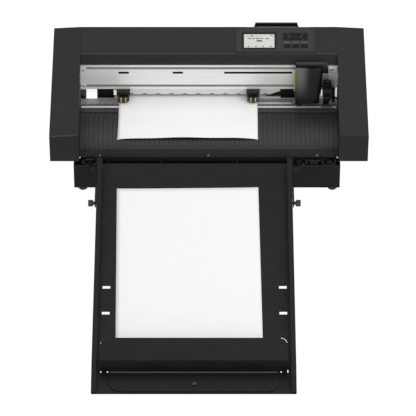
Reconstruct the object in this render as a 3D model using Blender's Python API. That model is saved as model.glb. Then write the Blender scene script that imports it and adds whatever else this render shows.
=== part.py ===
# Desktop vinyl cutter with a catch tray, built as separate pieces.
# Lengths below are in millimetres; meshes are written in metres, +Z up, front towards -Y.
# "b" is the distance back from the front crease of the side covers, so y = b + B0.
import bpy
import bmesh
import math
from mathutils import Matrix, Vector

for old in list(bpy.data.objects):
    bpy.data.objects.remove(old, do_unlink=True)

MM = 0.001
B0 = 137.237          # puts the middle of the whole footprint at y = 0
TRAY_SLOPE = math.radians(9.04)
GAP = 0.3             # running gap kept between neighbouring pieces

# body
HALF_W = 336.0        # half of the published 672 mm width
COVER_X = 274.3       # inner face of a side cover
TOP_B, TOP_Z = 253.6, 265.0    # top edge of the covers
CREASE_Z = 171.0
SLOPE = math.atan2(TOP_Z - CREASE_Z, TOP_B)     # slope of the top faces of the covers
PLATE_X = 279.3       # inner face of a side frame plate
PLATE_T = 2.0
SHEET_T = 2.0

# rail and carriage
RAIL_B = (180.0, 225.0)
RAIL_Z = (154.0, 218.0)
CAR_X = (184.5, 240.0)
TOOL_X = 252.5
TOOL_B = 149.0
BELT_B = 250.0
BELT_Z = (199.0, 207.0)
PULLEY_R = 8.0
PULLEY_X = (-256.0, 256.0)

# media feed
GRIT_B, GRIT_Z, GRIT_R = 164.0, 122.0, 8.0
GRIT_ZONES = ((-193.0, -171.0), (-78.0, -56.0), (32.0, 177.0))
WHEEL_R, WHEEL_Z, WHEEL_W = 6.5, 137.05, 17.0
PIVOT_B, PIVOT_Z, PIVOT_R = 178.0, 146.5, 2.8
LIFT_B, LIFT_Z, LIFT_R = 202.0, 172.0, 2.8    # inside the channel of the rail
PUSH_X = {"left": -183.5, "right": 94.7}
PLATEN_Z = 130.0
FEED_B, FEED_Z = 186.0, 98.0
FEED_GEAR_R, FEED_PINION_R = 22.8, 9.5
LEVER_B, LEVER_Z = 280.0, 175.0
LEVER_X = (100.0, 191.0)

# control panel on the sloping face, u runs down the slope from the top edge
PANEL_X = (57.0, 226.0)
PANEL_U = (3.0, 64.0)
PANEL_HOLE = ((66.0, 222.0), (7.0, 60.0))
BOARD = ((68.0, 220.0), (9.0, 58.0))
LCD_X = (74.4, 140.5)
LCD_U = (19.0, 54.0)
KEY_LOW, KEY_HIGH = -3.0, 3.2
KEY_GAP = 0.35

# base and feet
BASE_X = (-287.4, 278.9)
BASE_B = (15.0, 300.0)
BASE_Z = (16.0, 76.0)
DECK_Z = 76.4         # the frame plates and the chassis pan stand on the base here
FOOT_X = {"left": -269.5, "right": 264.0}
FOOT_B = {"front": 35.0, "rear": 278.0}

# catch tray, t runs down the tray from its upper edge, n is square to it
TRAY_X = (-235.0, 174.5)
TRAY_MID = -30.25
TRAY_TOP = (-5.0, 98.7)
TRAY_LEN = 614.0
TRAY_T = 1.5
HINGE_T, HINGE_N = 120.0, 10.0
STOP_T, STOP_H, STOP_W = 556.0, 34.0, 374.0    # top edge of the stopper's wall
STOP_FOOT = 560.4       # foot of the wall
SLOT_X = (-209.7, 151.0)
SLOT_T = (339.0, 407.0, 557.0)
SLOT_HALF = (7.85, 3.8)
TAB_HALF = 5.6
SCREW_T = 590.0         # stopper screw

# each finish: base colour, roughness, metallic
FINISHES = {
    "cover": ((0.034, 0.035, 0.036, 1), 0.6, 0.0),
    "dark": ((0.02, 0.021, 0.022, 1), 0.5, 0.0),
    "tray": ((0.024, 0.025, 0.026, 1), 0.55, 0.0),
    "rail": ((0.75, 0.75, 0.74, 1), 0.45, 1.0),
    "steel": ((0.55, 0.55, 0.55, 1), 0.4, 1.0),
    "platen": ((0.28, 0.28, 0.28, 1), 0.45, 1.0),
    "brass": ((0.7, 0.5, 0.2, 1), 0.35, 1.0),
    "glass": ((0.62, 0.66, 0.56, 1), 0.2, 0.0),
    "paper": ((0.88, 0.88, 0.88, 1), 0.7, 0.0),
    "board": ((0.02, 0.12, 0.06, 1), 0.5, 0.0),
    "rubber": ((0.012, 0.012, 0.012, 1), 0.8, 0.0),
    "key": ((0.05, 0.051, 0.052, 1), 0.45, 0.0),
}


def material(name, finish_name):
    colour, roughness, metallic = FINISHES[finish_name]
    mat = bpy.data.materials.new(name + "_mat")
    mat.use_nodes = True
    shader = mat.node_tree.nodes["Principled BSDF"]
    shader.inputs["Base Color"].default_value = colour
    shader.inputs["Roughness"].default_value = roughness
    shader.inputs["Metallic"].default_value = metallic
    return mat


def world(x, b, z):
    return Vector((x * MM, (b + B0) * MM, z * MM))


def face_a(x, u, n):
    """Point on the sloping face of the top cover: u down the slope, n square to it."""
    b = TOP_B - u * math.cos(SLOPE) - n * math.sin(SLOPE)
    z = TOP_Z - u * math.sin(SLOPE) + n * math.cos(SLOPE)
    return world(x, b, z)


def tray_pt(x, t, n):
    b = TRAY_TOP[0] - t * math.cos(TRAY_SLOPE) - n * math.sin(TRAY_SLOPE)
    z = TRAY_TOP[1] - t * math.sin(TRAY_SLOPE) + n * math.cos(TRAY_SLOPE)
    return world(x, b, z)


def make(name, rings, caps=True, closed=False):
    """Solid from a list of equal rings of points; the two end rings are capped."""
    bm = bmesh.new()
    loops = [[bm.verts.new(p) for p in ring] for ring in rings]
    n = len(loops[0])
    pairs = list(zip(loops, loops[1:]))
    if closed:
        pairs.append((loops[-1], loops[0]))
    for low, high in pairs:
        for i in range(n):
            j = (i + 1) % n
            bm.faces.new((low[i], low[j], high[j], high[i]))
    if caps and not closed:
        bm.faces.new(loops[0])
        bm.faces.new(list(reversed(loops[-1])))
    bmesh.ops.recalc_face_normals(bm, faces=bm.faces)
    me = bpy.data.meshes.new(name)
    bm.to_mesh(me)
    bm.free()
    if sum_volume(me) < 0:
        me.flip_normals()
    obj = bpy.data.objects.new(name, me)
    bpy.context.collection.objects.link(obj)
    return obj


def sum_volume(me):
    total = 0.0
    me.calc_loop_triangles()
    for tri in me.loop_triangles:
        a, b, c = (me.vertices[i].co for i in tri.vertices)
        total += a.dot(b.cross(c))
    return total


def prism_x(name, prof, x0, x1):
    return make(name, [[world(x, b, z) for b, z in prof] for x in (x0, x1)])


def prism_b(name, prof, b0, b1):
    return make(name, [[world(x, b, z) for x, z in prof] for b in (b0, b1)])


def prism_z(name, prof, z0, z1):
    return make(name, [[world(x, b, z) for x, b in prof] for z in (z0, z1)])


def prism_a(name, prof, n0, n1):
    return make(name, [[face_a(x, u, n) for x, u in prof] for n in (n0, n1)])


def prism_t(name, prof, n0, n1):
    return make(name, [[tray_pt(x, t, n) for x, t in prof] for n in (n0, n1)])


def box(name, xs, bs, zs):
    return prism_x(name, [(bs[0], zs[0]), (bs[1], zs[0]), (bs[1], zs[1]), (bs[0], zs[1])], *xs)


def rect(xs, us):
    return [(xs[0], us[0]), (xs[1], us[0]), (xs[1], us[1]), (xs[0], us[1])]


def turned(name, axis, at, prof, segs=32):
    """Round piece: prof is a list of (distance along the axis, radius)."""
    rings = []
    for s, r in prof:
        ring = []
        for k in range(segs):
            a = 2 * math.pi * (k + 0.5) / segs
            c, d = r * math.cos(a), r * math.sin(a)
            if axis == "x":
                ring.append(world(at[0] + s, at[1] + c, at[2] + d))
            elif axis == "z":
                ring.append(world(at[0] + c, at[1] + d, at[2] + s))
            else:
                ring.append(tray_pt(at[0] + c, at[1] + d, at[2] + s))
        rings.append(ring)
    return make(name, rings)


def bake(obj):
    deps = bpy.context.evaluated_depsgraph_get()
    me = bpy.data.meshes.new_from_object(obj.evaluated_get(deps))
    obj.modifiers.clear()
    obj.data = me
    return obj


def combine(obj, others, how="DIFFERENCE"):
    for other in others:
        mod = obj.modifiers.new("b", "BOOLEAN")
        mod.operation = how
        mod.solver = "EXACT"
        mod.object = other
    bake(obj)
    for other in others:
        bpy.data.objects.remove(other, do_unlink=True)
    return obj


def finish(obj, finish_name, origin=None, smooth=False):
    obj.data.name = obj.name
    obj.data.materials.clear()
    obj.data.materials.append(material(obj.name, finish_name))
    if origin is not None:
        obj.data.transform(Matrix.Translation(-origin))
        obj.location = origin
    if smooth:
        obj.data.shade_smooth()
        obj.data.set_sharp_from_angle(angle=math.radians(35))
    return obj


def arc(cx, cy, r, a0, a1, steps):
    out = []
    for k in range(steps + 1):
        a = math.radians(a0 + (a1 - a0) * k / steps)
        out.append((cx + r * math.cos(a), cy + r * math.sin(a)))
    return out


def grown(poly, d):
    """Convex outline moved outward by d."""
    cx = sum(p[0] for p in poly) / len(poly)
    cy = sum(p[1] for p in poly) / len(poly)
    n = len(poly)
    lines = []
    for i in range(n):
        (x0, y0), (x1, y1) = poly[i], poly[(i + 1) % n]
        nx, ny = y1 - y0, x0 - x1
        ln = math.hypot(nx, ny)
        nx, ny = nx / ln, ny / ln
        if nx * (x0 - cx) + ny * (y0 - cy) < 0:
            nx, ny = -nx, -ny
        lines.append((nx, ny, nx * x0 + ny * y0 + d))
    out = []
    for i in range(n):
        a1, b1, c1 = lines[i - 1]
        a2, b2, c2 = lines[i]
        det = a1 * b2 - a2 * b1
        out.append(((c1 * b2 - c2 * b1) / det, (a1 * c2 - a2 * c1) / det))
    return out


# ---------------------------------------------------------------- side covers
def side_cover(name, s):
    """Thin cover whose outer side is lower than its inner one and leans in above the crease."""
    drop = 3.5
    wall = 2.0
    lean_z = CREASE_Z - drop
    lean = 4.5 / (TOP_Z - CREASE_Z)

    def out_x(z):
        return HALF_W - lean * max(0.0, z - lean_z)

    outer = [(2, 99), (0, CREASE_Z), (TOP_B, TOP_Z), (267, 252), (294, 171), (300, 99)]
    inner = [(4.3, 90), (2.4, 169.5), (252.9, 262.2), (264.9, 250.7), (291.7, 171), (297.7, 90)]
    body = make(name, [
        [world(s * COVER_X, b, z) for b, z in outer],
        [world(s * out_x(z - (drop if z > 100 else 0)), b, z - (drop if z > 100 else 0))
         for b, z in outer]])
    hollow = make("hollow", [
        [world(s * (COVER_X + wall), b, z) for b, z in inner],
        [world(s * (out_x(z - drop) - wall - 0.2), b, z - (drop if z > 100 else 0))
         for b, z in inner]])
    window = box("window", sorted((s * 268.0, s * 280.0)), (145.0, 295.0), (80.0, 219.0))
    combine(body, [hollow, window])
    return finish(body, "cover")


side_cover("left_side_cover", -1)
side_cover("right_side_cover", 1)

# ---------------------------------------------------------------- top cover
top = prism_x("top_cover", [
    (178, 221), (189, CREASE_Z + 189 * math.tan(SLOPE)), (TOP_B, TOP_Z), (267, 252), (292, 160),
    (289.8, 160), (265.0, 251.0), (252.9, 262.5), (190.3, 239.0),
    (182.0, 223.2), (235, 223.2), (235, 221)], -274.0, 274.0)
panel_hole = prism_a("panel_hole", rect(*PANEL_HOLE), -6, 6)
lever_slot = box("lever_slot", (LEVER_X[0] - 4, LEVER_X[1] + 4), (270, 300), (174, 228))
combine(top, [panel_hole, lever_slot])
finish(top, "cover")

# ---------------------------------------------------------------- control panel
LEFT_KEY = [(159, 17), (165.5, 17), (171, 25.5), (165.5, 34), (159, 34)]
RIGHT_KEY = [(210.5, 17), (204, 17), (198.5, 25.5), (204, 34), (210.5, 34)]
UP_KEY = [(169, 17), (200.5, 17), (194.5, 24.2), (175, 24.2)]
DOWN_KEY = [(175, 27), (194.5, 27), (200.5, 34), (169, 34)]


def pill(x0, x1, u0, u1):
    r = (u1 - u0) / 2
    um = (u0 + u1) / 2
    return arc(x1 - r, um, r, -90, 90, 6) + arc(x0 + r, um, r, 90, 270, 6)


KEYS = {
    "left": LEFT_KEY, "right": RIGHT_KEY, "up": UP_KEY, "down": DOWN_KEY,
    "menu_1": pill(159, 175, 45, 54.6), "menu_2": pill(177.4, 193.2, 45, 54.6),
    "menu_3": pill(195.6, 211.6, 45, 54.6),
}
bezel = prism_a("panel_bezel", rect(PANEL_X, PANEL_U), 0.3, 2.0)
holes = [prism_a("lcd_hole", rect(LCD_X, LCD_U), -2, 5)]
for key, poly in KEYS.items():
    holes.append(prism_a("hole_" + key, grown(poly, KEY_GAP), -2, 5))
combine(bezel, holes)
finish(bezel, "cover")
for key, poly in KEYS.items():
    cap = prism_a("key_" + key, poly, KEY_LOW, KEY_HIGH)
    cx = (min(p[0] for p in poly) + max(p[0] for p in poly)) / 2
    cu = (min(p[1] for p in poly) + max(p[1] for p in poly)) / 2
    finish(cap, "key", origin=face_a(cx, cu, KEY_LOW))
glass = prism_a("display_glass", rect((LCD_X[0] + GAP, LCD_X[1] - GAP),
                                      (LCD_U[0] + GAP, LCD_U[1] - GAP)), -0.6, 1.2)
finish(glass, "glass")
board = prism_a("control_board", rect(*BOARD), -8.6, -7.0)
finish(board, "board")

# ---------------------------------------------------------------- frame plates
for side, s in (("left", -1), ("right", 1)):
    outline = [(30, DECK_Z), (288, DECK_Z), (286.5, 182), (262, 245), (250, 248), (30, 167)]
    xs = sorted((s * PLATE_X, s * (PLATE_X + PLATE_T)))
    plate = prism_x(side + "_frame_plate", outline, *xs)
    foot = box("foot", sorted((s * 264.0, s * (PLATE_X + 1))), (30, 287),
               (DECK_Z, DECK_Z + PLATE_T))
    combine(plate, [foot], "UNION")
    cuts = [turned("c", "x", (s * 260, GRIT_B, GRIT_Z), [(-s * 2, 4.0), (s * 40, 4.0)], 20),
            turned("c", "x", (s * 260, LIFT_B, LIFT_Z), [(-s * 2, 3.2), (s * 40, 3.2)], 20)]
    if s > 0:
        cuts.append(turned("c", "x", (260, LEVER_B, LEVER_Z), [(-2, 4.5), (40, 4.5)], 20))
    else:
        cuts.append(turned("c", "x", (-260, FEED_B, FEED_Z), [(2, 4.2), (-40, 4.2)], 20))
    combine(plate, cuts)
    finish(plate, "steel")

# ---------------------------------------------------------------- rail and its brackets
rb0, rb1 = RAIL_B
rz0, rz1 = RAIL_Z
rail = prism_x("y_rail", [
    (rb0, rz0), (rb0, rz0 + 6), (rb0 + 2.5, rz0 + 7.5), (rb0 + 2.5, rz0 + 10.5), (rb0, rz0 + 12),
    (rb0, rz1 - 11), (rb0 + 2.5, rz1 - 9.5), (rb0 + 2.5, rz1 - 6.5), (rb0, rz1 - 5), (rb0, rz1),
    (rb1, rz1), (rb1, rz1 - 12), (rb1 - 3, rz1 - 12), (rb1 - 3, rz1 - 3.5), (rb0 + 6, rz1 - 3.5),
    (rb0 + 6, rz0 + 3.5), (rb1 - 3, rz0 + 3.5), (rb1 - 3, rz0 + 12), (rb1, rz0 + 12), (rb1, rz0)],
    -PLATE_X + GAP, PLATE_X - GAP)
finish(rail, "rail")
for name, xs, front in (("rail_bracket_right", (255.2, 273.9), 176.6),
                        ("rail_bracket_left", (-273.9, -262.5), 177.6)):
    finish(box(name, xs, (front, rb0 - GAP), (rz0 + 0.6, rz1 - 0.6)), "steel")

# guide plate under the rail, with a row of notches along its lower edge
GUIDE_LOW, NOTCH_TOP, UNDER_RAIL = 135.0, 137.8, rz0 - GAP
NOTCH_X, NOTCH_PITCH, NOTCH_W, NOTCH_COUNT = -172.0, 28.9, 9.6, 11
notches = []
for k in range(NOTCH_COUNT):
    x = NOTCH_X + k * NOTCH_PITCH
    notches += [(x, GUIDE_LOW), (x, NOTCH_TOP), (x + NOTCH_W, NOTCH_TOP), (x + NOTCH_W, GUIDE_LOW)]
guide = prism_b("guide_plate", [(-205, 143), (-199, GUIDE_LOW)] + notches +
                [(146, GUIDE_LOW), (152, 143), (152, UNDER_RAIL), (-205, UNDER_RAIL)], 186.0, 187.4)
finish(guide, "steel")
track = box("holder_track", (-240.0, 185.0), (188, 204), (147, UNDER_RAIL))
blocks = [prism_x("b", [(188, 137), (200, GUIDE_LOW), (204, 140), (204, 150), (188, 150)], *xs)
          for xs in ((-240.0, -207.0), (154.0, 185.0))]
combine(track, blocks, "UNION")
finish(track, "dark")

# ---------------------------------------------------------------- platen and media path
platen = prism_x("platen", [(145.8, 125.0), (156.1, 125.0), (156.1, 127.6), (177.0, 127.6),
                            (177.0, PLATEN_Z), (155.0, PLATEN_Z), (155.0, 126.8),
                            (145.8, 126.8)], -PLATE_X + 0.4, PLATE_X - 0.4)
slots = [box("s", (a - 0.5, b + 0.5), (157.3, 170.7), (126, 132)) for a, b in GRIT_ZONES]
combine(platen, slots)
finish(platen, "platen")
strip = box("cutting_strip", (-273.0, 273.0), (146.2, 153.2), (127.1, PLATEN_Z))
finish(strip, "rail")

zones = []
for a, b in GRIT_ZONES:
    zones += [(a, 4.9), (a, GRIT_R), (b, GRIT_R), (b, 4.9)]
grit = turned("grit_roller", "x", (0, GRIT_B, GRIT_Z),
              [(-291, 3.6), (-277, 3.6), (-277, 4.9)] + zones +
              [(276, 4.9), (276, 3.6), (283, 3.6)], 24)
finish(grit, "steel", origin=world(0, GRIT_B, GRIT_Z), smooth=True)
gear = turned("feed_gear", "x", (0, GRIT_B, GRIT_Z), [(-290.5, FEED_GEAR_R), (-284, FEED_GEAR_R)], 40)
bore = turned("bore", "x", (0, GRIT_B, GRIT_Z), [(-300, 3.9), (-270, 3.9)], 20)
combine(gear, [bore])
finish(gear, "dark", origin=world(-287, GRIT_B, GRIT_Z), smooth=True)
pinion = turned("feed_pinion", "x", (0, FEED_B, FEED_Z),
                [(-290.5, FEED_PINION_R), (-284, FEED_PINION_R), (-284, 3.0), (-277.4, 3.0)], 24)
finish(pinion, "brass", origin=world(-287, FEED_B, FEED_Z), smooth=True)
motor = turned("feed_motor", "x", (0, FEED_B, FEED_Z), [(-277.1, 17.5), (-240, 17.5)], 32)
finish(motor, "dark", smooth=True)

GUIDE_LINE = [(178.0, 129.8), (195.0, 128.6), (215.0, 125.3), (240.0, 119.0), (290.0, 104.5),
              (338.0, 90.5)]


def lifted(line, d):
    out = []
    for i, (b, z) in enumerate(line):
        p0 = line[max(0, i - 1)]
        p1 = line[min(len(line) - 1, i + 1)]
        ln = math.hypot(p1[0] - p0[0], p1[1] - p0[1])
        out.append((b - (p1[1] - p0[1]) / ln * d, z + (p1[0] - p0[0]) / ln * d))
    return out


rear = prism_x("rear_guide", GUIDE_LINE + list(reversed(lifted(GUIDE_LINE, -1.2))), -262.0, 262.0)
finish(rear, "steel")


# the apron is a quarter of an ellipse, from its top at the back to its lower front edge
APRON_B, APRON_Z = 128.0, 90.5
APRON_REACH, APRON_RISE, APRON_WALL = 103.0, 38.5, 2.4


def apron_z(b):
    across = (APRON_B - b) / APRON_REACH
    return APRON_Z + APRON_RISE * math.sqrt(max(0.0, 1.0 - across ** 2))


def apron_arc(wall, steps=18):
    out = []
    for k in range(steps + 1):
        a = math.radians(90.0 * k / steps)
        out.append((APRON_B - (APRON_REACH - wall) * math.sin(a),
                    APRON_Z + (APRON_RISE - wall) * math.cos(a)))
    return out


apron = prism_x("front_apron", apron_arc(0.0) + list(reversed(apron_arc(APRON_WALL))) + [
    (145.0, 126.6), (145.0, 129.5), (132.0, 129.5), (131.0, 128.4), (129.4, 128.4)],
    -274.0, 274.0)
finish(apron, "dark", smooth=True)
pan = prism_x("chassis_pan", [(24, DECK_Z), (296, DECK_Z), (296, 88), (294.6, 88), (294.6, 78),
                              (25.6, 78), (25.6, 89.8), (24, 89.8)], -263.0, 263.0)
finish(pan, "dark")
main = box("main_board", (-110.0, 70.0), (70.0, 170.0), (84.0, 85.6))
legs = [box("leg", (x - 3, x + 3), (b - 3, b + 3), (78.2, 84.6))
        for x in (-103, 63) for b in (77, 163)]
combine(main, legs, "UNION")
finish(main, "board")

# ---------------------------------------------------------------- loaded sheet
SHEET_X = (-193.0, 104.0)
SHEET_FRONT, SHEET_STEP, PAPER_T, PAPER_GAP = 53.0, 7.5, 0.25, 0.2
front = [SHEET_FRONT + SHEET_STEP * k for k in range(10)]
line = [(b, apron_z(b) + PAPER_GAP) for b in front]
line += [(128.2, 129.35), (134.5, PLATEN_Z + 0.12), (177.6, PLATEN_Z + 0.12)]
line += lifted(GUIDE_LINE, PAPER_GAP)[1:-1] + [(330.0, 93.1)]
sheet = prism_x("loaded_sheet", line + list(reversed(lifted(line, PAPER_T))), *SHEET_X)
finish(sheet, "paper")

# ---------------------------------------------------------------- push rollers and their lift
for side, cx in PUSH_X.items():
    holder = prism_x("push_holder_" + side, [
        (168, 148.2), (168, UNDER_RAIL), (185.6, UNDER_RAIL), (185.6, 139.5), (171.5, 139.5),
        (170, 148.2)], cx - 14, cx + 14)
    pocket = box("pocket", (cx - 12.7, cx + 12.7), (160, 183.6), (130, 151.9))
    pin = turned("pin", "x", (cx, PIVOT_B, PIVOT_Z), [(-13.5, PIVOT_R), (13.5, PIVOT_R)], 20)
    combine(holder, [pocket])
    combine(holder, [pin], "UNION")
    finish(holder, "dark", origin=world(cx, PIVOT_B, PIVOT_Z))

    lean = math.degrees(math.atan2(PIVOT_Z - WHEEL_Z, PIVOT_B - GRIT_B))
    prof = arc(PIVOT_B, PIVOT_Z, 4.6, -90 + lean, 90 + lean, 8)
    prof += arc(GRIT_B, WHEEL_Z, 3.6, 90 + lean, 270 + lean, 8)
    arm = prism_x("push_arm_" + side, prof, cx - 12.3, cx + 12.3)
    pocket = box("pocket", (cx - 9.0, cx + 9.0), (150, 171.6), (120, 150))
    holes = [turned("c", "x", (cx - 20, PIVOT_B, PIVOT_Z), [(0, 3.2), (40, 3.2)], 20),
             turned("c", "x", (cx - 20, GRIT_B, WHEEL_Z), [(0, 1.9), (40, 1.9)], 16)]
    combine(arm, [pocket] + holes)
    finish(arm, "dark", origin=world(cx, PIVOT_B, PIVOT_Z), smooth=True)

    w = WHEEL_W / 2
    wheel = turned("push_wheel_" + side, "x", (cx, GRIT_B, WHEEL_Z), [
        (-12.2, 1.5), (-w, 1.5), (-w, 5.2), (-w + 1.2, 5.2), (-w + 1.2, WHEEL_R), (-6.6, WHEEL_R),
        (-6.6, 6.1), (-3.4, 6.1), (-3.4, WHEEL_R), (3.4, WHEEL_R), (3.4, 6.1), (6.6, 6.1),
        (6.6, WHEEL_R), (w - 1.2, WHEEL_R), (w - 1.2, 5.2), (w, 5.2), (w, 1.5), (12.2, 1.5)], 24)
    finish(wheel, "rubber", origin=world(cx, GRIT_B, WHEEL_Z), smooth=True)

shaft = turned("lift_shaft", "x", (0, LIFT_B, LIFT_Z), [(-284, LIFT_R), (284, LIFT_R)], 20)
flat = box("flat", (-270, 270), (LIFT_B - 5, LIFT_B + 5), (LIFT_Z + 2.0, LIFT_Z + 5))
combine(shaft, [flat])
finish(shaft, "steel", origin=world(0, LIFT_B, LIFT_Z), smooth=True)

lx0, lx1 = LEVER_X
lever = prism_x("set_lever", [
    (LEVER_B - 3, LEVER_Z - 2), (LEVER_B + 3, LEVER_Z - 2), (303.5, 225.0), (309.0, 231.5),
    (308.0, 236.4), (303.0, 236.4), (299.5, 226.0)], lx0, lx1)
rod = turned("rod", "x", (0, LEVER_B, LEVER_Z), [(lx0 - 6, 4.0), (286, 4.0)], 20)
grip_hole = box("grip_hole", (lx0 + 5, lx1 - 5), (288, 320), (219.0, 230.6))
combine(lever, [grip_hole])
combine(lever, [rod], "UNION")
finish(lever, "dark", origin=world(145, LEVER_B, LEVER_Z), smooth=True)

# ---------------------------------------------------------------- carriage
slider = prism_b("carriage_slider", [(186, 158), (238, 158), (238, 203), (254.6, 203), (254.6, 213),
                                     (228, 213), (228, 220.6), (196, 220.6), (196, 213),
                                     (186, 213)], 171.0, 179.3)
hook = box("hook", (196, 228), (174, 240.8), (218.4, 220.4))
tail = box("tail", (204, 220), (237.6, 240.2), (196.5, 220.0))
combine(slider, [hook, tail], "UNION")
finish(slider, "dark", origin=world(212, 175, 186))

cover = prism_x("carriage_cover", [
    (138, 144), (139.5, 141.6), (142, 140.6), (149, 140.6), (152, 155), (170.6, 155),
    (170.6, 217), (166, 224), (158, 223), (150.5, 198), (142.5, 170)], *CAR_X)
inner = prism_x("inner", [
    (140, 144), (140.5, 143.2), (142, 142.6), (147.2, 142.6), (147.2, 139), (151.9, 139),
    (151.9, 150), (175, 150), (175, 215), (165.5, 221.8), (159.6, 221), (152.4, 197.5),
    (144.5, 169.6)], CAR_X[0] + 2, CAR_X[1] - 2)
combine(cover, [inner])
finish(cover, "dark", origin=world(212, 160, 186))

block = box("tool_block", (243, 262), (140.5, 168.0), (156, 183))
back = box("back", (244, 261), (163, 170.7), (156.5, 186))
bore = turned("bore", "z", (TOOL_X, TOOL_B, 150), [(0, 6.9), (40, 6.9)], 24)
combine(block, [back], "UNION")
combine(block, [bore])
finish(block, "dark", origin=world(TOOL_X, TOOL_B, 170))
blade = turned("blade_holder", "z", (TOOL_X, TOOL_B, 0), [
    (133.4, 1.2), (136.5, 3.9), (146, 3.9), (148, 6.5), (183.4, 6.5), (183.4, 9.2), (189, 9.2),
    (191, 5.6), (205, 5.6), (207, 4.4)], 24)
finish(blade, "key", origin=world(TOOL_X, TOOL_B, 183.4), smooth=True)

# ---------------------------------------------------------------- carriage drive behind the rail
motor = turned("carriage_motor", "z", (PULLEY_X[1], BELT_B, 0), [(158.5, 16.5), (195, 16.5)], 32)
finish(motor, "dark", smooth=True)
for name, x in (("drive_pulley", PULLEY_X[1]), ("idler_pulley", PULLEY_X[0])):
    low = 195.4 if x > 0 else 190.0
    pulley = turned(name, "z", (x, BELT_B, 0), [
        (low, 2.4), (197.0, 2.4), (197.0, 9.6), (198.4, 9.6), (198.4, PULLEY_R), (207.6, PULLEY_R),
        (207.6, 9.6), (208.8, 9.6), (208.8, 2.4), (211, 2.4)], 24)
    finish(pulley, "steel", origin=world(x, BELT_B, 203), smooth=True)
BELT_T = 1.2


def belt_loop(r):
    return arc(PULLEY_X[0], BELT_B, r, 90, 270, 10) + arc(PULLEY_X[1], BELT_B, r, -90, 90, 10)


sections = []
for (xi, bi), (xo, bo) in zip(belt_loop(PULLEY_R + GAP), belt_loop(PULLEY_R + GAP + BELT_T)):
    sections.append([world(xi, bi, BELT_Z[0]), world(xo, bo, BELT_Z[0]),
                     world(xo, bo, BELT_Z[1]), world(xi, bi, BELT_Z[1])])
belt = make("carriage_belt", sections, closed=True)
finish(belt, "rubber", smooth=True)

# ---------------------------------------------------------------- base, feet and tray arms
base = box("base_frame", BASE_X, BASE_B, BASE_Z)
BASE_WALL = 1.6
room = box("room", *[(low + BASE_WALL, high - BASE_WALL) for low, high in (BASE_X, BASE_B, BASE_Z)])
under = box("under", (BASE_X[0] + 46, BASE_X[1] - 46), (BASE_B[0] + 14, BASE_B[1] - 14), (10, 30))
combine(base, [room, under])
finish(base, "dark")
for fb, b in FOOT_B.items():
    for side, x in FOOT_X.items():
        foot = turned("foot_%s_%s" % (fb, side), "z", (x, b, 0),
                      [(0, 8.8), (1.5, 10.2), (10, 10.8), (15.8, 10.8)], 28)
        finish(foot, "rubber", smooth=True)

hinge = tray_pt(TRAY_MID, HINGE_T, HINGE_N)
hb, hz = hinge.y / MM - B0, hinge.z / MM
for side, s, wall in (("left", -1, TRAY_X[0]), ("right", 1, TRAY_X[1])):
    xs = sorted((wall + s * 1.0, wall + s * 3.4))
    prof = arc(hb, hz, 9.0, 200, 90, 8) + [(10, 97.0), (14.6, 97.0), (14.6, 62.0), (4, 62.0)]
    prof += [(hb + 30, 76.0)] + arc(hb, hz, 9.0, 290, 230, 4)
    arm = prism_x("tray_arm_" + side, prof, *xs)
    ear = box("ear", sorted((wall + s * 1.0, wall + s * 17.0)), (12.3, 14.6), (62.0, 75.0))
    combine(arm, [ear], "UNION")
    combine(arm, [turned("c", "x", (wall - 20, hb, hz), [(0, 3.2), (40, 3.2)], 20)])
    finish(arm, "cover")
    steps = [(-8.2, 3.0), (-7.6, 4.4), (-2.6, 4.4), (-2.6, 2.8), (3.7, 2.8), (3.7, 6.4), (5.4, 6.4),
             (7.4, 3.4), (10.8, 3.4), (11.4, 7.0), (18.6, 7.0)]
    screw = turned("tray_screw_" + side, "x", (wall, hb, hz), [(s * d, r) for d, r in steps], 24)
    finish(screw, "steel", origin=world(wall + s * 2, hb, hz), smooth=True)

# ---------------------------------------------------------------- catch tray
tx0, tx1 = TRAY_X
LIP_W = 10.0            # top flange of each side wall
rings = []
for t, high in ((0.0, 18.0), (560.0, 18.0), (TRAY_LEN, 7.0)):
    sec = [(tx0, -TRAY_T), (tx0, high), (tx0 + LIP_W, high), (tx0 + LIP_W, high - TRAY_T),
           (tx0 + TRAY_T, high - TRAY_T), (tx0 + TRAY_T, 0.0), (tx1 - TRAY_T, 0.0),
           (tx1 - TRAY_T, high - TRAY_T), (tx1 - LIP_W, high - TRAY_T), (tx1 - LIP_W, high),
           (tx1, high), (tx1, -TRAY_T)]
    rings.append([tray_pt(x, t, n) for x, n in sec])
tray = make("tray", rings)
cuts = [prism_t("s", rect((x - SLOT_HALF[0], x + SLOT_HALF[0]), (t - SLOT_HALF[1], t + SLOT_HALF[1])),
                -5, 5) for x in SLOT_X for t in SLOT_T]
cuts.append(turned("c", "x", (tx0 - 10, hb, hz), [(0, 3.2), (30, 3.2)], 20))
cuts.append(turned("c", "x", (tx1 - 15, hb, hz), [(0, 3.2), (30, 3.2)], 20))
combine(tray, cuts)
finish(tray, "tray", origin=hinge)

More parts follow.
